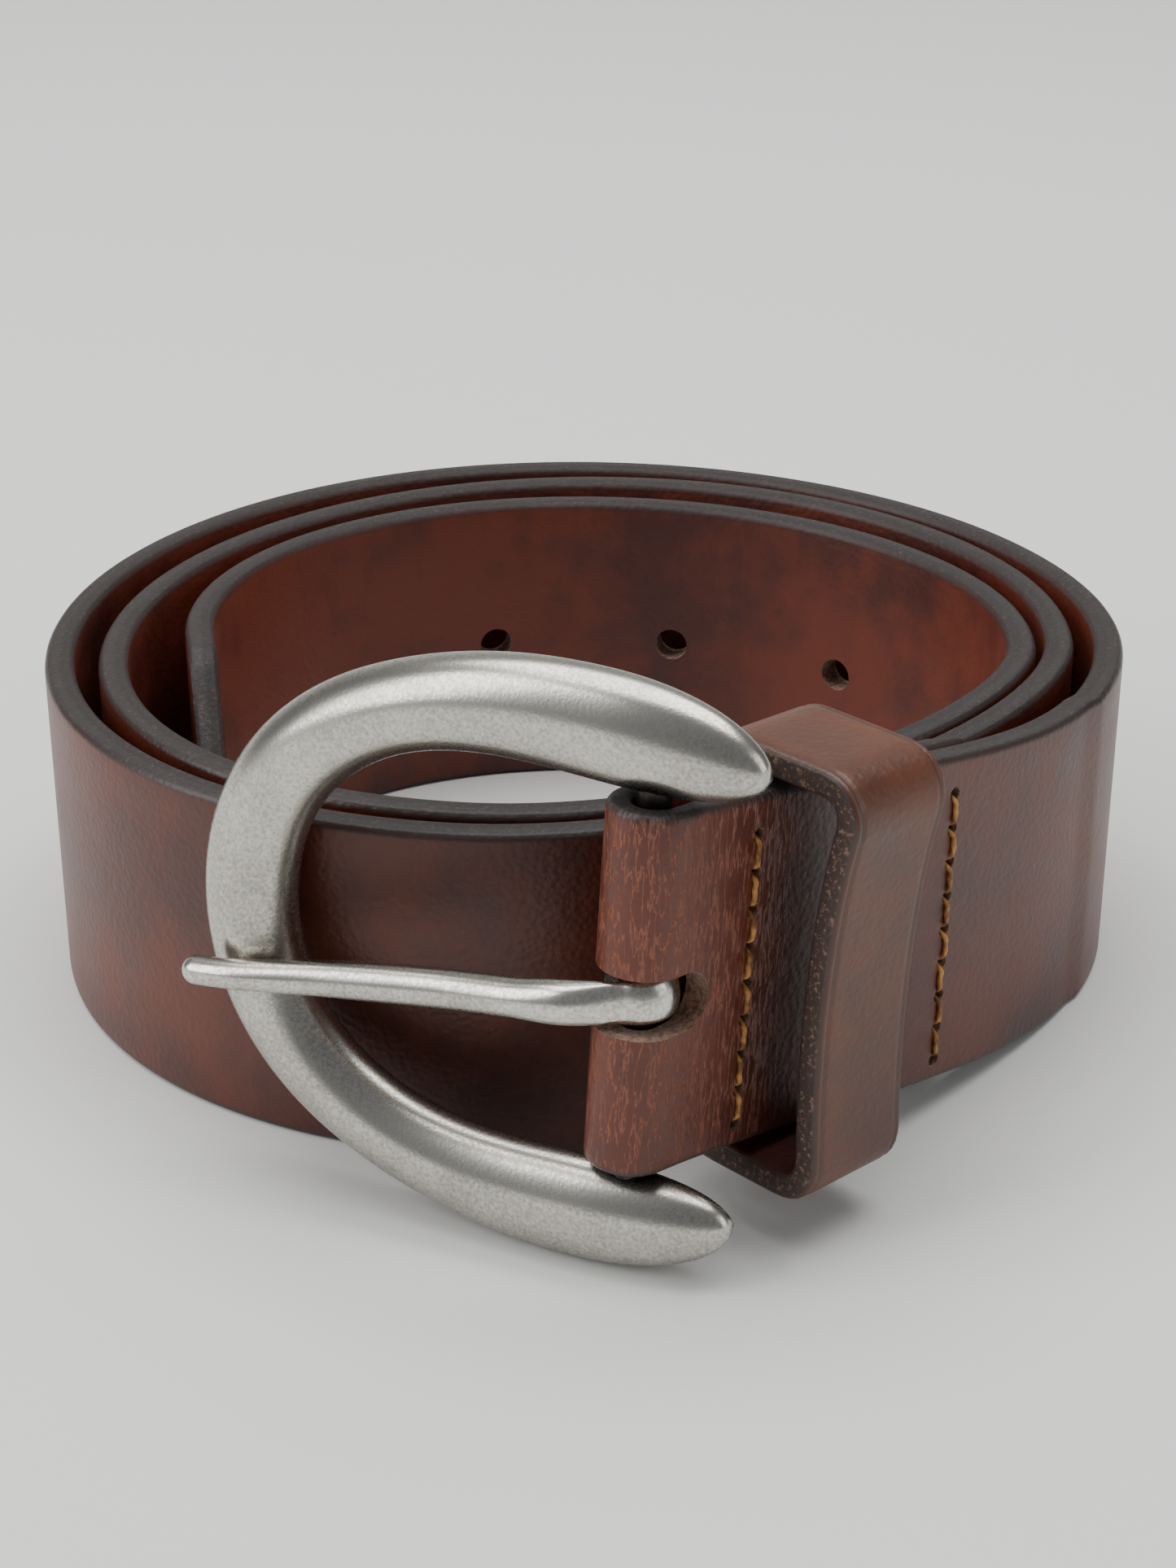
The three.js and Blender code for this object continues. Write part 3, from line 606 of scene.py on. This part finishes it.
def metal(name, dark, bright, rough_low, rough_high, grain, depth):
    """Cast zinc alloy, tumbled, silver plated and antiqued: a satin skin with grey patina in its
    fine pits, rubbed bright on the crowns."""
    material, tree, shader = new_material(name)
    place = add_node(tree, "ShaderNodeTexCoord").outputs["Object"]
    pits = add_node(tree, "ShaderNodeTexNoise", {
        "Vector": place, "Scale": grain, "Detail": 3, "Roughness": 0.6,
    }).outputs["Fac"]
    clouds = add_node(tree, "ShaderNodeTexNoise", {
        "Vector": place, "Scale": 90, "Detail": 3,
    }).outputs["Fac"]
    worn = add_node(tree, "ShaderNodeMath", {
        0: clouds, 1: 0.5, 2: pits,
    }, operation="MULTIPLY_ADD").outputs[0]
    share = add_node(tree, "ShaderNodeMapRange", {
        "Value": worn, "From Min": 0.45, "From Max": 0.95,
    }).outputs[0]
    colour = add_node(tree, "ShaderNodeMix", {
        0: share, 6: dark, 7: bright,
    }, data_type="RGBA").outputs[2]
    tree.links.new(colour, shader.inputs["Base Color"])
    rough = add_node(tree, "ShaderNodeMapRange", {
        "Value": worn, "From Min": 0.45, "From Max": 0.95,
        "To Min": rough_high, "To Max": rough_low,
    }).outputs[0]
    tree.links.new(rough, shader.inputs["Roughness"])
    shader.inputs["Metallic"].default_value = 1.0
    bump = add_node(tree, "ShaderNodeBump", {"Strength": 0.2, "Distance": depth, "Height": pits})
    tree.links.new(bump.outputs[0], shader.inputs["Normal"])
    return material


def waxed_thread(name, dark, pale):
    """Waxed polyester thread in three strands: a dull gleam on each strand, dirt between them."""
    material, tree, shader = new_material(name)
    place = add_node(tree, "ShaderNodeTexCoord").outputs["Object"]
    dirt = add_node(tree, "ShaderNodeTexNoise", {
        "Vector": place, "Scale": 700, "Detail": 3,
    }).outputs["Fac"]
    share = add_node(tree, "ShaderNodeMapRange", {
        "Value": dirt, "From Min": 0.38, "From Max": 0.62,
    }).outputs[0]
    colour = add_node(tree, "ShaderNodeMix", {
        0: share, 6: dark, 7: pale,
    }, data_type="RGBA").outputs[2]
    tree.links.new(colour, shader.inputs["Base Color"])
    shader.inputs["Roughness"].default_value = 0.6
    bump = add_node(tree, "ShaderNodeBump", {"Strength": 0.4, "Distance": 0.0001, "Height": dirt})
    tree.links.new(bump.outputs[0], shader.inputs["Normal"])
    return material


def painted_floor(name, colour):
    """Matt paint on a smooth board."""
    material, tree, shader = new_material(name)
    shader.inputs["Base Color"].default_value = colour
    shader.inputs["Roughness"].default_value = 0.85
    return material


def belt_leather_colours(looks):
    return {
        "deep": linear(looks.grain_deep),
        "bright": linear(looks.grain_bright),
        "highlit_creases": linear(looks.grain_crease_highlight),
        "flesh_deep": linear(looks.flesh_deep),
        "flesh_bright": linear(looks.flesh_bright),
        "edge_dark": linear(looks.edge_dark),
        "edge_pale": linear(looks.edge_pale),
    }


# ---- Strap ---------------------------------------------------------------------------------------
def hole_tools(stations):
    tools, walked, wanted = [], 0.0, FIRST_HOLE
    for after, here in zip(stations[::-1], stations[-2::-1]):
        step = (after.point - here.point).length
        while walked + step >= wanted and len(tools) < HOLE_COUNT:
            centre = after.point.lerp(here.point, (wanted - walked) / step)
            reach = after.out * STRAP_THICKNESS
            tools.append(cylinder_tool(centre - reach, centre + reach, HOLE_DIAMETER))
            wanted += HOLE_PITCH
        walked += step
    return tools


def slot_tool():
    """The prong's slot: a long hole with round ends through both plies."""
    r = SLOT_WIDTH / 2
    far = FOLD_RADIUS + FOLD_THICKNESS
    outline = [(-far - r, -r)]
    for k in range(17):
        a = math.radians(-90 + 180 * k / 16)
        outline.append((SLOT_REACH - r + r * math.cos(a), r * math.sin(a)))
    outline.append((-far - r, r))
    middle = BAR_PLACE - FOLD_UP * PRONG_DROP
    flat = [middle + FOLD_ALONG * x + FOLD_UP * y for x, y in outline]
    return loft([[p + FOLD_OUT * side * far for p in flat] for side in (-1, 1)])


def awl_tools(diameter):
    tools = []
    for distance in SEAMS.values():
        lead = lead_station(distance)
        for i in range(STITCH_COUNT + 1):
            centre = lead.point + lead.upright * stitch_height(i)
            inside = centre - lead.out * (2 * STRAP_THICKNESS + FOLD_THICKNESS)
            tools.append(cylinder_tool(inside, centre + lead.out * STRAP_THICKNESS, diameter, 12))
    return tools


def stitch_height(i):
    return (STITCH_COUNT / 2 - i) * STITCH_PITCH + SEAM_SHIFT


class BELT_OT_strap(bpy.types.Operator):
    """Builds the strap: turned back round the bar, rolled up, punched and slotted"""

    bl_idname = "belt.strap"
    bl_label = "Strap"

    def execute(self, context):
        sizes, looks = context.scene.belt_sizes, context.scene.belt_looks
        stations = strap_stations(sizes.strap_step * 1000)
        edge = sizes.edge_rounding * 1000
        rings, run_map, section_map = [], [], []
        for s in stations:
            section = strip_section(s.width, s.thickness, edge, 14)
            rings.append(ring(s.point, s.upright, s.out, section))
            for across, depth in section:
                run_map.append((s.run * 0.001, across * 0.001))
                section_map.append((2 * depth / s.thickness, 2 * across / s.width))
        maps = {"run": run_map, "section": section_map}
        grain = leather("oiled vegetable-tanned cowhide", belt_leather_colours(looks))
        raw = raw_leather("raw cut cowhide", linear(looks.raw_dark), linear(looks.raw_pale))
        skin = make_mesh("belt_strap", *loft(rings), PLACE, maps)
        strap = add_object("belt_strap", skin, (grain, raw))
        # A thread's pull leaves its hole narrower than the awl
        awls = awl_tools(AWL_DIAMETER * 0.78)
        corners, faces = join_parts([*hole_tools(stations), slot_tool(), *awls])
        spare = {"run": [(0.5, 0)] * len(corners), "section": [(0, 0)] * len(corners)}
        tool_mesh = make_mesh("tools", corners, faces, PLACE, spare, 1)
        tool = add_object("tools", tool_mesh, (grain, raw))
        cut_away(strap, tool)
        finish_piece(strap, "strap_body", ["strap"])
        return {"FINISHED"}


# ---- Threads -------------------------------------------------------------------------------------
class BELT_OT_threads(bpy.types.Operator):
    """Sews both seams: one twisted thread on each face, dipping into every hole"""

    bl_idname = "belt.threads"
    bl_label = "Threads"

    def execute(self, context):
        looks = context.scene.belt_looks
        sizes = context.scene.belt_sizes
        thread = waxed_thread(
            "waxed polyester thread", linear(looks.thread_dark), linear(looks.thread_pale))
        uneven = random.Random(7)
        for seam, distance in SEAMS.items():
            for side in ("face", "back"):
                lead = lead_station(distance)
                ply = lead if side == "face" else turn_back_station(distance)
                furthest = sizes.stitch_swerve * 1000
                swerves = [uneven.uniform(-1, 1) * furthest for _ in range(STITCH_COUNT)]
                node = f"{seam}_seam_{side}_thread"
                self.sew(f"{seam}_{side}_stitches", ply, lead, swerves, thread, node)
        return {"FINISHED"}

    def sew(self, name, ply, lead, swerves, material, node):
        radius = THREAD_DIAMETER * 0.42
        lift = ply.thickness / 2 + radius * 0.6
        fine = 16

        def centre(i):
            share = i / fine
            near = abs((share + 0.5) % 1 - 0.5) * STITCH_PITCH
            dip = (THREAD_DIP + radius) * (1 - ease(near / (AWL_DIAMETER * 0.5)))
            stitch = min(int(share), STITCH_COUNT - 1)
            swerve = swerves[stitch] * math.sin(math.pi * (share - stitch)) ** 2
            up = mix(stitch_height(0), stitch_height(STITCH_COUNT), share / STITCH_COUNT)
            point = ply.point + lead.upright * up
            return point + ply.out * (lift - dip) + ply.tangent * swerve

        rings = []
        last = fine * STITCH_COUNT
        for i in range(last + 1):
            tangent = (centre(min(last, i + 1)) - centre(max(0, i - 1))).normalized()
            face = tangent.cross(ply.tangent).normalized()
            side = face.cross(tangent)
            phase = 2 * math.pi * i / fine * STITCH_PITCH / 1.4
            section = oval_section(radius, radius, radius, 12, 3, 0.14, phase)
            rings.append(ring(centre(i), side, face, section))
        obj = add_object(name, make_mesh(name, *loft(rings), PLACE), (material,))
        finish_piece(obj, "strap_body", [node], 80)


# ---- Keeper --------------------------------------------------------------------------------------
def keeper_path():
    """The loop's middle line, (out, up), from its joint behind, down and round."""
    plies = STRAP_THICKNESS / 2 + CLEARANCE + FOLD_THICKNESS
    back = -(plies + KEEPER_BACK_ROOM + KEEPER_THICKNESS / 2)
    front = STRAP_THICKNESS / 2 + KEEPER_GAP + KEEPER_THICKNESS / 2
    top = STRAP_WIDTH / 2 + KEEPER_HEADROOM[0] + KEEPER_THICKNESS / 2
    low = -(STRAP_WIDTH / 2 + KEEPER_HEADROOM[1] + KEEPER_THICKNESS / 2)
    top_front, low_front = front + KEEPER_FLARE[0], front + KEEPER_FLARE[1]
    pinch = front - sum(KEEPER_FLARE) / 6
    r, joint = KEEPER_CORNER, CLEARANCE / 2
    legs = [
        ((back, -joint), (back, low + r)),
        ((back, low + r), (back, low), (back + r, low)),
        ((back + r, low), (low_front - r, low)),
        ((low_front - r, low), (low_front, low), (low_front, low + r)),
        ((low_front, low + r), (pinch, low / 3), (pinch, top / 3), (top_front, top - r)),
        ((top_front, top - r), (top_front, top), (top_front - r, top)),
        ((top_front - r, top), (back + r, top)),
        ((back + r, top), (back, top), (back, top - r)),
        ((back, top - r), (back, joint)),
    ]
    return Path([p for leg in legs for p in bezier(*leg)])


class BELT_OT_keeper(bpy.types.Operator):
    """Bends the keeper: a thick strip with a creased border, its ends meeting behind"""

    bl_idname = "belt.keeper"
    bl_label = "Keeper"

    def execute(self, context):
        sizes, looks = context.scene.belt_sizes, context.scene.belt_looks
        lead = lead_station(KEEPER_PLACE)
        along = lead.upright.cross(lead.out)
        path = keeper_path()
        crease_place, crease_width, crease_depth = 0.87, 0.035, sizes.crease_depth * 1000
        rings, run_map, section_map = [], [], []
        count = 150
        for i in range(count + 1):
            distance = path.length * i / count
            out, up = path.at(distance)
            step_out, step_up = path.along(distance)
            tangent = lead.upright * step_up + lead.out * step_out
            face = tangent.cross(along)
            section = strip_section(KEEPER_WIDTH, KEEPER_THICKNESS, 0.7, 40)
            shaped = []
            for across, depth in section:
                share = abs(2 * across / KEEPER_WIDTH)
                dent = 0
                if depth < 0:
                    off = (share - crease_place) / crease_width
                    dent = crease_depth * math.exp(-(off ** 2))
                shaped.append((across, depth + dent))
                run_map.append((0.5 + distance * 0.001, across * 0.001))
                section_map.append((-2 * depth / KEEPER_THICKNESS, 2 * across / KEEPER_WIDTH))
            centre = lead.point + lead.upright * up + lead.out * out
            rings.append(ring(centre, along, face, shaped))
        colours = belt_leather_colours(looks)
        colours.update(
            deep=linear(looks.keeper_deep), bright=linear(looks.keeper_bright),
            edge_dark=linear(looks.keeper_edge), edge_pale=linear(looks.keeper_fuzz),
        )
        skin = leather(
            "oiled cowhide with a raw edge", colours, wrinkled=False, crease=crease_place)
        maps = {"run": run_map, "section": section_map}
        mesh = make_mesh("keeper_loop", *loft(rings), PLACE, maps)
        keeper = add_object("keeper_loop", mesh, (skin,))
        finish_piece(keeper, "keeper_body", ["keeper"])
        wire = metal(
            "plain steel wire", linear("#4a4844"), linear("#8d8a84"), 0.25, 0.45, 900, 0.0001)
        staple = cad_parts["keeper_staple"]
        staple.data.materials.clear()
        staple.data.materials.append(wire)
        return {"FINISHED"}


# ---- Buckle --------------------------------------------------------------------------------------
def buckle_place():
    reach = Matrix.Rotation(math.radians(-BUCKLE_SWING), 3, FOLD_UP) @ -FOLD_ALONG
    out = FOLD_UP.cross(reach)
    axes = Matrix((reach, out, FOLD_UP)).transposed().to_4x4()
    return PLACE @ Matrix.Translation(BAR_PLACE) @ axes, reach, out


def frame_halves():
    bow = Path(bezier(
        (NOSE_REACH, 0), (NOSE_REACH, ARM_SPREAD * 0.6),
        (NOSE_REACH * 0.7, ARM_SPREAD), (ARM_WIDEST, ARM_SPREAD),
    ))
    arm = Path(bezier(
        (ARM_WIDEST, ARM_SPREAD), (ARM_WIDEST - 8, ARM_SPREAD),
        (-TIP_REACH * 0.4, mix(TIP_SPREAD, ARM_SPREAD, 0.7)), (-TIP_REACH, TIP_SPREAD),
    ))
    return bow, arm


class BELT_OT_buckle(bpy.types.Operator):
    """Casts the buckle's horseshoe frame and finishes its bar"""

    bl_idname = "belt.buckle"
    bl_label = "Buckle frame and bar"

    def execute(self, context):
        looks = context.scene.belt_looks
        place, _, _ = buckle_place()
        bow, arm = frame_halves()
        bow_share = 0.68

        def middle(share):
            s = abs(share)
            p = bow.at(bow.length * s / bow_share) if s < bow_share else arm.at(
                arm.length * (s - bow_share) / (1 - bow_share))
            bend = NOSE_BEND * (max(p.x, 0) / NOSE_REACH) ** 2
            return Vector((p.x, -bend, math.copysign(p.y, share)))

        steps, rounded = 160, 0.25
        front = Vector((0, 1, 0))
        rings = []
        for i in range(steps + 1):
            even = 2 * i / steps - 1
            share = math.copysign(1 - (1 - abs(even)) ** 1.25, even)
            tangent = middle(min(1, share + 1e-3)) - middle(max(-1, share - 1e-3))
            tangent.y = 0
            side = front.cross(tangent.normalized())
            s = abs(share)
            width = mix(NOSE_WIDTH, SHOULDER_WIDTH, ease(s / 0.4))
            width = mix(width, ARM_WIDTH, ease((s - 0.4) / 0.35))
            end = max(0, (s - (1 - rounded)) / rounded)
            whole = max(0.04, math.sqrt(max(0, 1 - end**2.2)))
            back = FRAME_BACK * mix(1, whole, 0.8)
            section = oval_section(width / 2 * whole, FRAME_FRONT * whole, back, 48)
            rings.append(ring(middle(share) - Vector((0, 0, FRAME_DROP)), side, front, section))
        patina, rubbed = linear(looks.silver_dark), linear(looks.silver_bright)
        silver = metal("antiqued silver plate", patina, rubbed, 0.2, 0.34, 2400, 0.00008)
        mesh = make_mesh("buckle_horseshoe", *loft(rings), place)
        cast = add_object("buckle_horseshoe", mesh, (silver,))
        finish_piece(cast, "buckle_body", ["buckle_frame"], 80)
        dark = metal(
            "dark plain steel", linear("#1c1a18"), linear("#4a4642"), 0.35, 0.5, 900, 0.0001)
        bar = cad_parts["heel_bar"]
        bar.data.materials.clear()
        bar.data.materials.append(dark)
        return {"FINISHED"}


class BELT_OT_prong(bpy.types.Operator):
    """Bends the prong: an eye round the bar, a shoulder, and a shank that rises over the nose"""

    bl_idname = "belt.prong"
    bl_label = "Prong"

    def execute(self, context):
        looks = context.scene.belt_looks
        _, reach, out = buckle_place()
        shank_way = Matrix.Rotation(math.radians(PRONG_TILT), 3, out) @ reach
        axes = Matrix((shank_way, out, shank_way.cross(out))).transposed().to_4x4()
        place = PLACE @ Matrix.Translation(BAR_PLACE - FOLD_UP * PRONG_DROP) @ axes
        eye = BAR_DIAMETER / 2 + EYE_ROOM + PRONG_PLATE / 2
        over_nose = FRAME_FRONT - NOSE_BEND + CLEARANCE + PRONG_DIAMETER / 2
        shank = Path(through([
            (0, eye, 0), (SHOULDER_REACH, eye + PRONG_RISE, 0),
            (PRONG_LENGTH * 0.4, eye + PRONG_RISE * 0.7, 0),
            (PRONG_LENGTH * 0.66, over_nose - PRONG_RISE, 0),
            (PRONG_LENGTH * 0.88, over_nose, 0), (PRONG_LENGTH, over_nose - CLEARANCE, 0),
        ]))
        side = Vector((0, 0, 1))
        rings = []
        sides, eye_steps, shank_steps = 32, 40, 110
        for i in range(eye_steps):
            a = math.radians(90 + EYE_SWEEP * (1 - i / eye_steps))
            centre = Vector((eye * math.cos(a), eye * math.sin(a), 0))
            section = oval_section(PRONG_WIDTH / 2, PRONG_PLATE / 2, PRONG_PLATE / 2, sides)
            rings.append(ring(centre, side, -centre.normalized(), section))
        for i in range(shank_steps + 1):
            share = i / shank_steps
            far = share * PRONG_LENGTH
            face = shank.along(share * shank.length).cross(side)
            swell = ease(far / SHOULDER_REACH) * (1 - ease((far - SHOULDER_REACH) / SHOULDER_FADE))
            slim = mix(PRONG_DIAMETER, PRONG_TIP, ease((share - 0.5) / 0.45))
            past = max(0, (far - PRONG_LENGTH + PRONG_TIP / 2) / (PRONG_TIP / 2))
            whole = math.sqrt(max(0.02, 1 - past**2))
            wide = mix(PRONG_WIDTH, slim, ease(far / SHOULDER_REACH))
            wide += swell * (PRONG_BASE - PRONG_WIDTH)
            deep = mix(PRONG_PLATE, slim, ease(far / SHOULDER_REACH)) * whole
            section = oval_section(wide / 2 * whole, deep / 2, deep / 2, sides)
            rings.append(ring(shank.at(share * shank.length), side, face, section))
        patina, rubbed = linear(looks.silver_dark), linear(looks.prong_bright)
        worn = metal(
            "antiqued silver plate, worn bright", patina, rubbed, 0.2, 0.34, 2400, 0.00006)
        prong = add_object("buckle_prong", make_mesh("buckle_prong", *loft(rings), place), (worn,))
        finish_piece(prong, "prong_body", ["prong"], 80)
        return {"FINISHED"}


# ---- Stage ---------------------------------------------------------------------------------------
class BELT_OT_stage(bpy.types.Operator):
    """Sets the pale floor, the soft lights and the camera"""

    bl_idname = "belt.stage"
    bl_label = "Stage"

    def execute(self, context):
        scene = context.scene
        looks = scene.belt_looks
        away = math.radians(90 - FOLD_HEADING)
        turn = Matrix.Rotation(away - math.pi / 2, 4, "Z")
        # The floor runs back, then sweeps up into the wall on a 0.5 m radius
        outline = [(-4.0, 0.0), (0.9, 0.0)]
        for a in range(6, 91, 6):
            rise = math.radians(a)
            outline.append((0.9 + 0.5 * math.sin(rise), 0.5 - 0.5 * math.cos(rise)))
        outline.append((1.4, 4.0))
        corners = [turn @ Vector((x, y, z)) for y, z in outline for x in (-5, 5)]
        faces = [(2 * i, 2 * i + 1, 2 * i + 3, 2 * i + 2) for i in range(len(outline) - 1)]
        sweep = make_mesh("floor_sweep", corners, faces, Matrix.Identity(4))
        paint = painted_floor("matt white paint", linear(looks.floor))
        floor = add_object("floor_sweep", sweep, (paint,))

        for name, spot, size, power in (
            ("overhead_softbox", (0.0, 0.15, 1.1), (1.3, 0.9), 17),
            ("left_window", (-1.1, -0.35, 0.7), (0.7, 1.1), 12),
            ("right_fill", (1.2, -0.5, 0.5), (0.7, 0.9), 3.5),
        ):
            lamp = bpy.data.lights.new(name, "AREA")
            lamp.shape, lamp.size, lamp.size_y, lamp.energy = "RECTANGLE", *size, power
            holder = bpy.data.objects.new(name, lamp)
            holder.location = turn @ Vector(spot)
            aim = Vector((0, 0, 0.02)) - holder.location
            holder.rotation_euler = aim.to_track_quat("-Z", "Y").to_euler()
            scene.collection.objects.link(holder)
        world = bpy.data.worlds.new("pale_room")
        world.use_nodes = True
        back = world.node_tree.nodes["Background"]
        back.inputs["Color"].default_value = linear(looks.room)
        back.inputs["Strength"].default_value = 0.32
        scene.world = world

        camera = bpy.data.objects.new("camera", bpy.data.cameras.new("camera"))
        camera.data.lens = 67.25
        camera.data.clip_start, camera.data.clip_end = 0.01, 20
        camera.location = PLACE @ Vector((1.8, -332.6, 178.8))
        camera.rotation_euler = (math.radians(90 - 25.95), 0, math.radians(-FOLD_HEADING))
        scene.collection.objects.link(camera)
        scene.camera = camera
        return {"FINISHED"}


# ---- What a user may change ----------------------------------------------------------------------
class BeltSizes(bpy.types.PropertyGroup):
    strap_step: FloatProperty(
        name="Strap step", description="Length of strap between its rings",
        default=0.0022, min=0.001, unit="LENGTH",
    )
    edge_rounding: FloatProperty(
        name="Edge rounding", description="Radius of the strap's long edges",
        default=0.0009, min=0.0002, unit="LENGTH",
    )
    crease_depth: FloatProperty(
        name="Crease depth", description="Depth of the line pressed along the keeper's borders",
        default=0.00022, min=0, unit="LENGTH",
    )
    stitch_swerve: FloatProperty(
        name="Stitch swerve", description="How far a stitch strays from the seam",
        default=0.0003, min=0, unit="LENGTH",
    )


class BeltLooks(bpy.types.PropertyGroup):
    grain_deep: StringProperty(
        name="Grain, deep", description="Darker dye of the grain face, sRGB hex",
        default="#36130b",
    )
    grain_bright: StringProperty(
        name="Grain, bright", description="Brighter dye of the grain face, sRGB hex",
        default="#5c2511",
    )
    # The paler colour painted on the fold's crease ridges as a painted highlight
    grain_crease_highlight: StringProperty(
        name="Grain, stretched", description="Grain where it is pulled at a bend, sRGB hex",
        default="#9c5738",
    )
    flesh_deep: StringProperty(
        name="Flesh, deep", description="Darker dye of the flesh face, sRGB hex",
        default="#3f140b",
    )
    flesh_bright: StringProperty(
        name="Flesh, bright", description="Brighter dye of the flesh face, sRGB hex",
        default="#66260f",
    )
    edge_dark: StringProperty(
        name="Edge, dark", description="Ink on the strap's edges, sRGB hex",
        default="#1e1715",
    )
    edge_pale: StringProperty(
        name="Edge, pale", description="Specks in the strap's edges, sRGB hex",
        default="#463832",
    )
    keeper_deep: StringProperty(
        name="Keeper, deep", description="Darker dye of the keeper, sRGB hex",
        default="#44200f",
    )
    keeper_bright: StringProperty(
        name="Keeper, bright", description="Brighter dye of the keeper, sRGB hex",
        default="#663517",
    )
    keeper_fuzz: StringProperty(
        name="Keeper fuzz", description="Fibres on the keeper's raw edge, sRGB hex",
        default="#8c6b5a",
    )
    keeper_edge: StringProperty(
        name="Keeper edge", description="The keeper's raw edge, sRGB hex",
        default="#3a2a24",
    )
    raw_dark: StringProperty(
        name="Raw leather, dark", description="Darker fibres of cut leather, sRGB hex",
        default="#553728",
    )
    raw_pale: StringProperty(
        name="Raw leather, pale", description="Paler fibres of cut leather, sRGB hex",
        default="#a37b5f",
    )
    thread_dark: StringProperty(
        name="Thread, dark", description="Dirt on the thread, sRGB hex",
        default="#6f441c",
    )
    thread_pale: StringProperty(
        name="Thread, pale", description="Clean thread, sRGB hex",
        default="#bd8643",
    )
    silver_dark: StringProperty(
        name="Silver, patina", description="Patina in the silver's pits, sRGB hex",
        default="#8f8b84",
    )
    silver_bright: StringProperty(
        name="Silver, rubbed", description="Silver where it is rubbed, sRGB hex",
        default="#c9c5bc",
    )
    prong_bright: StringProperty(
        name="Prong, rubbed", description="Silver of the prong, sRGB hex",
        default="#d6d2ca",
    )
    floor: StringProperty(
        name="Floor", description="Floor paint, sRGB hex",
        default="#e2e2df",
    )
    room: StringProperty(
        name="Room", description="Colour of the room's light, sRGB hex",
        default="#dfe3e8",
    )


class BELT_PT_panel(bpy.types.Panel):
    bl_label = "Belt"
    bl_idname = "BELT_PT_panel"
    bl_space_type = "VIEW_3D"
    bl_region_type = "UI"
    bl_category = "Belt"

    def draw(self, context):
        for group in (context.scene.belt_sizes, context.scene.belt_looks):
            for name in group.__annotations__:
                self.layout.prop(group, name)
        for operator in OPERATORS:
            self.layout.operator(operator.bl_idname)


OPERATORS = (
    BELT_OT_strap, BELT_OT_threads, BELT_OT_keeper, BELT_OT_buckle, BELT_OT_prong, BELT_OT_stage,
)
CLASSES = (BeltSizes, BeltLooks, *OPERATORS, BELT_PT_panel)


def register():
    for cls in CLASSES:
        bpy.utils.register_class(cls)
    bpy.types.Scene.belt_sizes = PointerProperty(type=BeltSizes)
    bpy.types.Scene.belt_looks = PointerProperty(type=BeltLooks)


def unregister():
    del bpy.types.Scene.belt_looks
    del bpy.types.Scene.belt_sizes
    for cls in reversed(CLASSES):
        bpy.utils.unregister_class(cls)


def main():
    register()
    bpy.ops.belt.strap()
    bpy.ops.belt.threads()
    bpy.ops.belt.keeper()
    bpy.ops.belt.buckle()
    bpy.ops.belt.prong()
    bpy.ops.belt.stage()


if __name__ == "__main__":
    main()
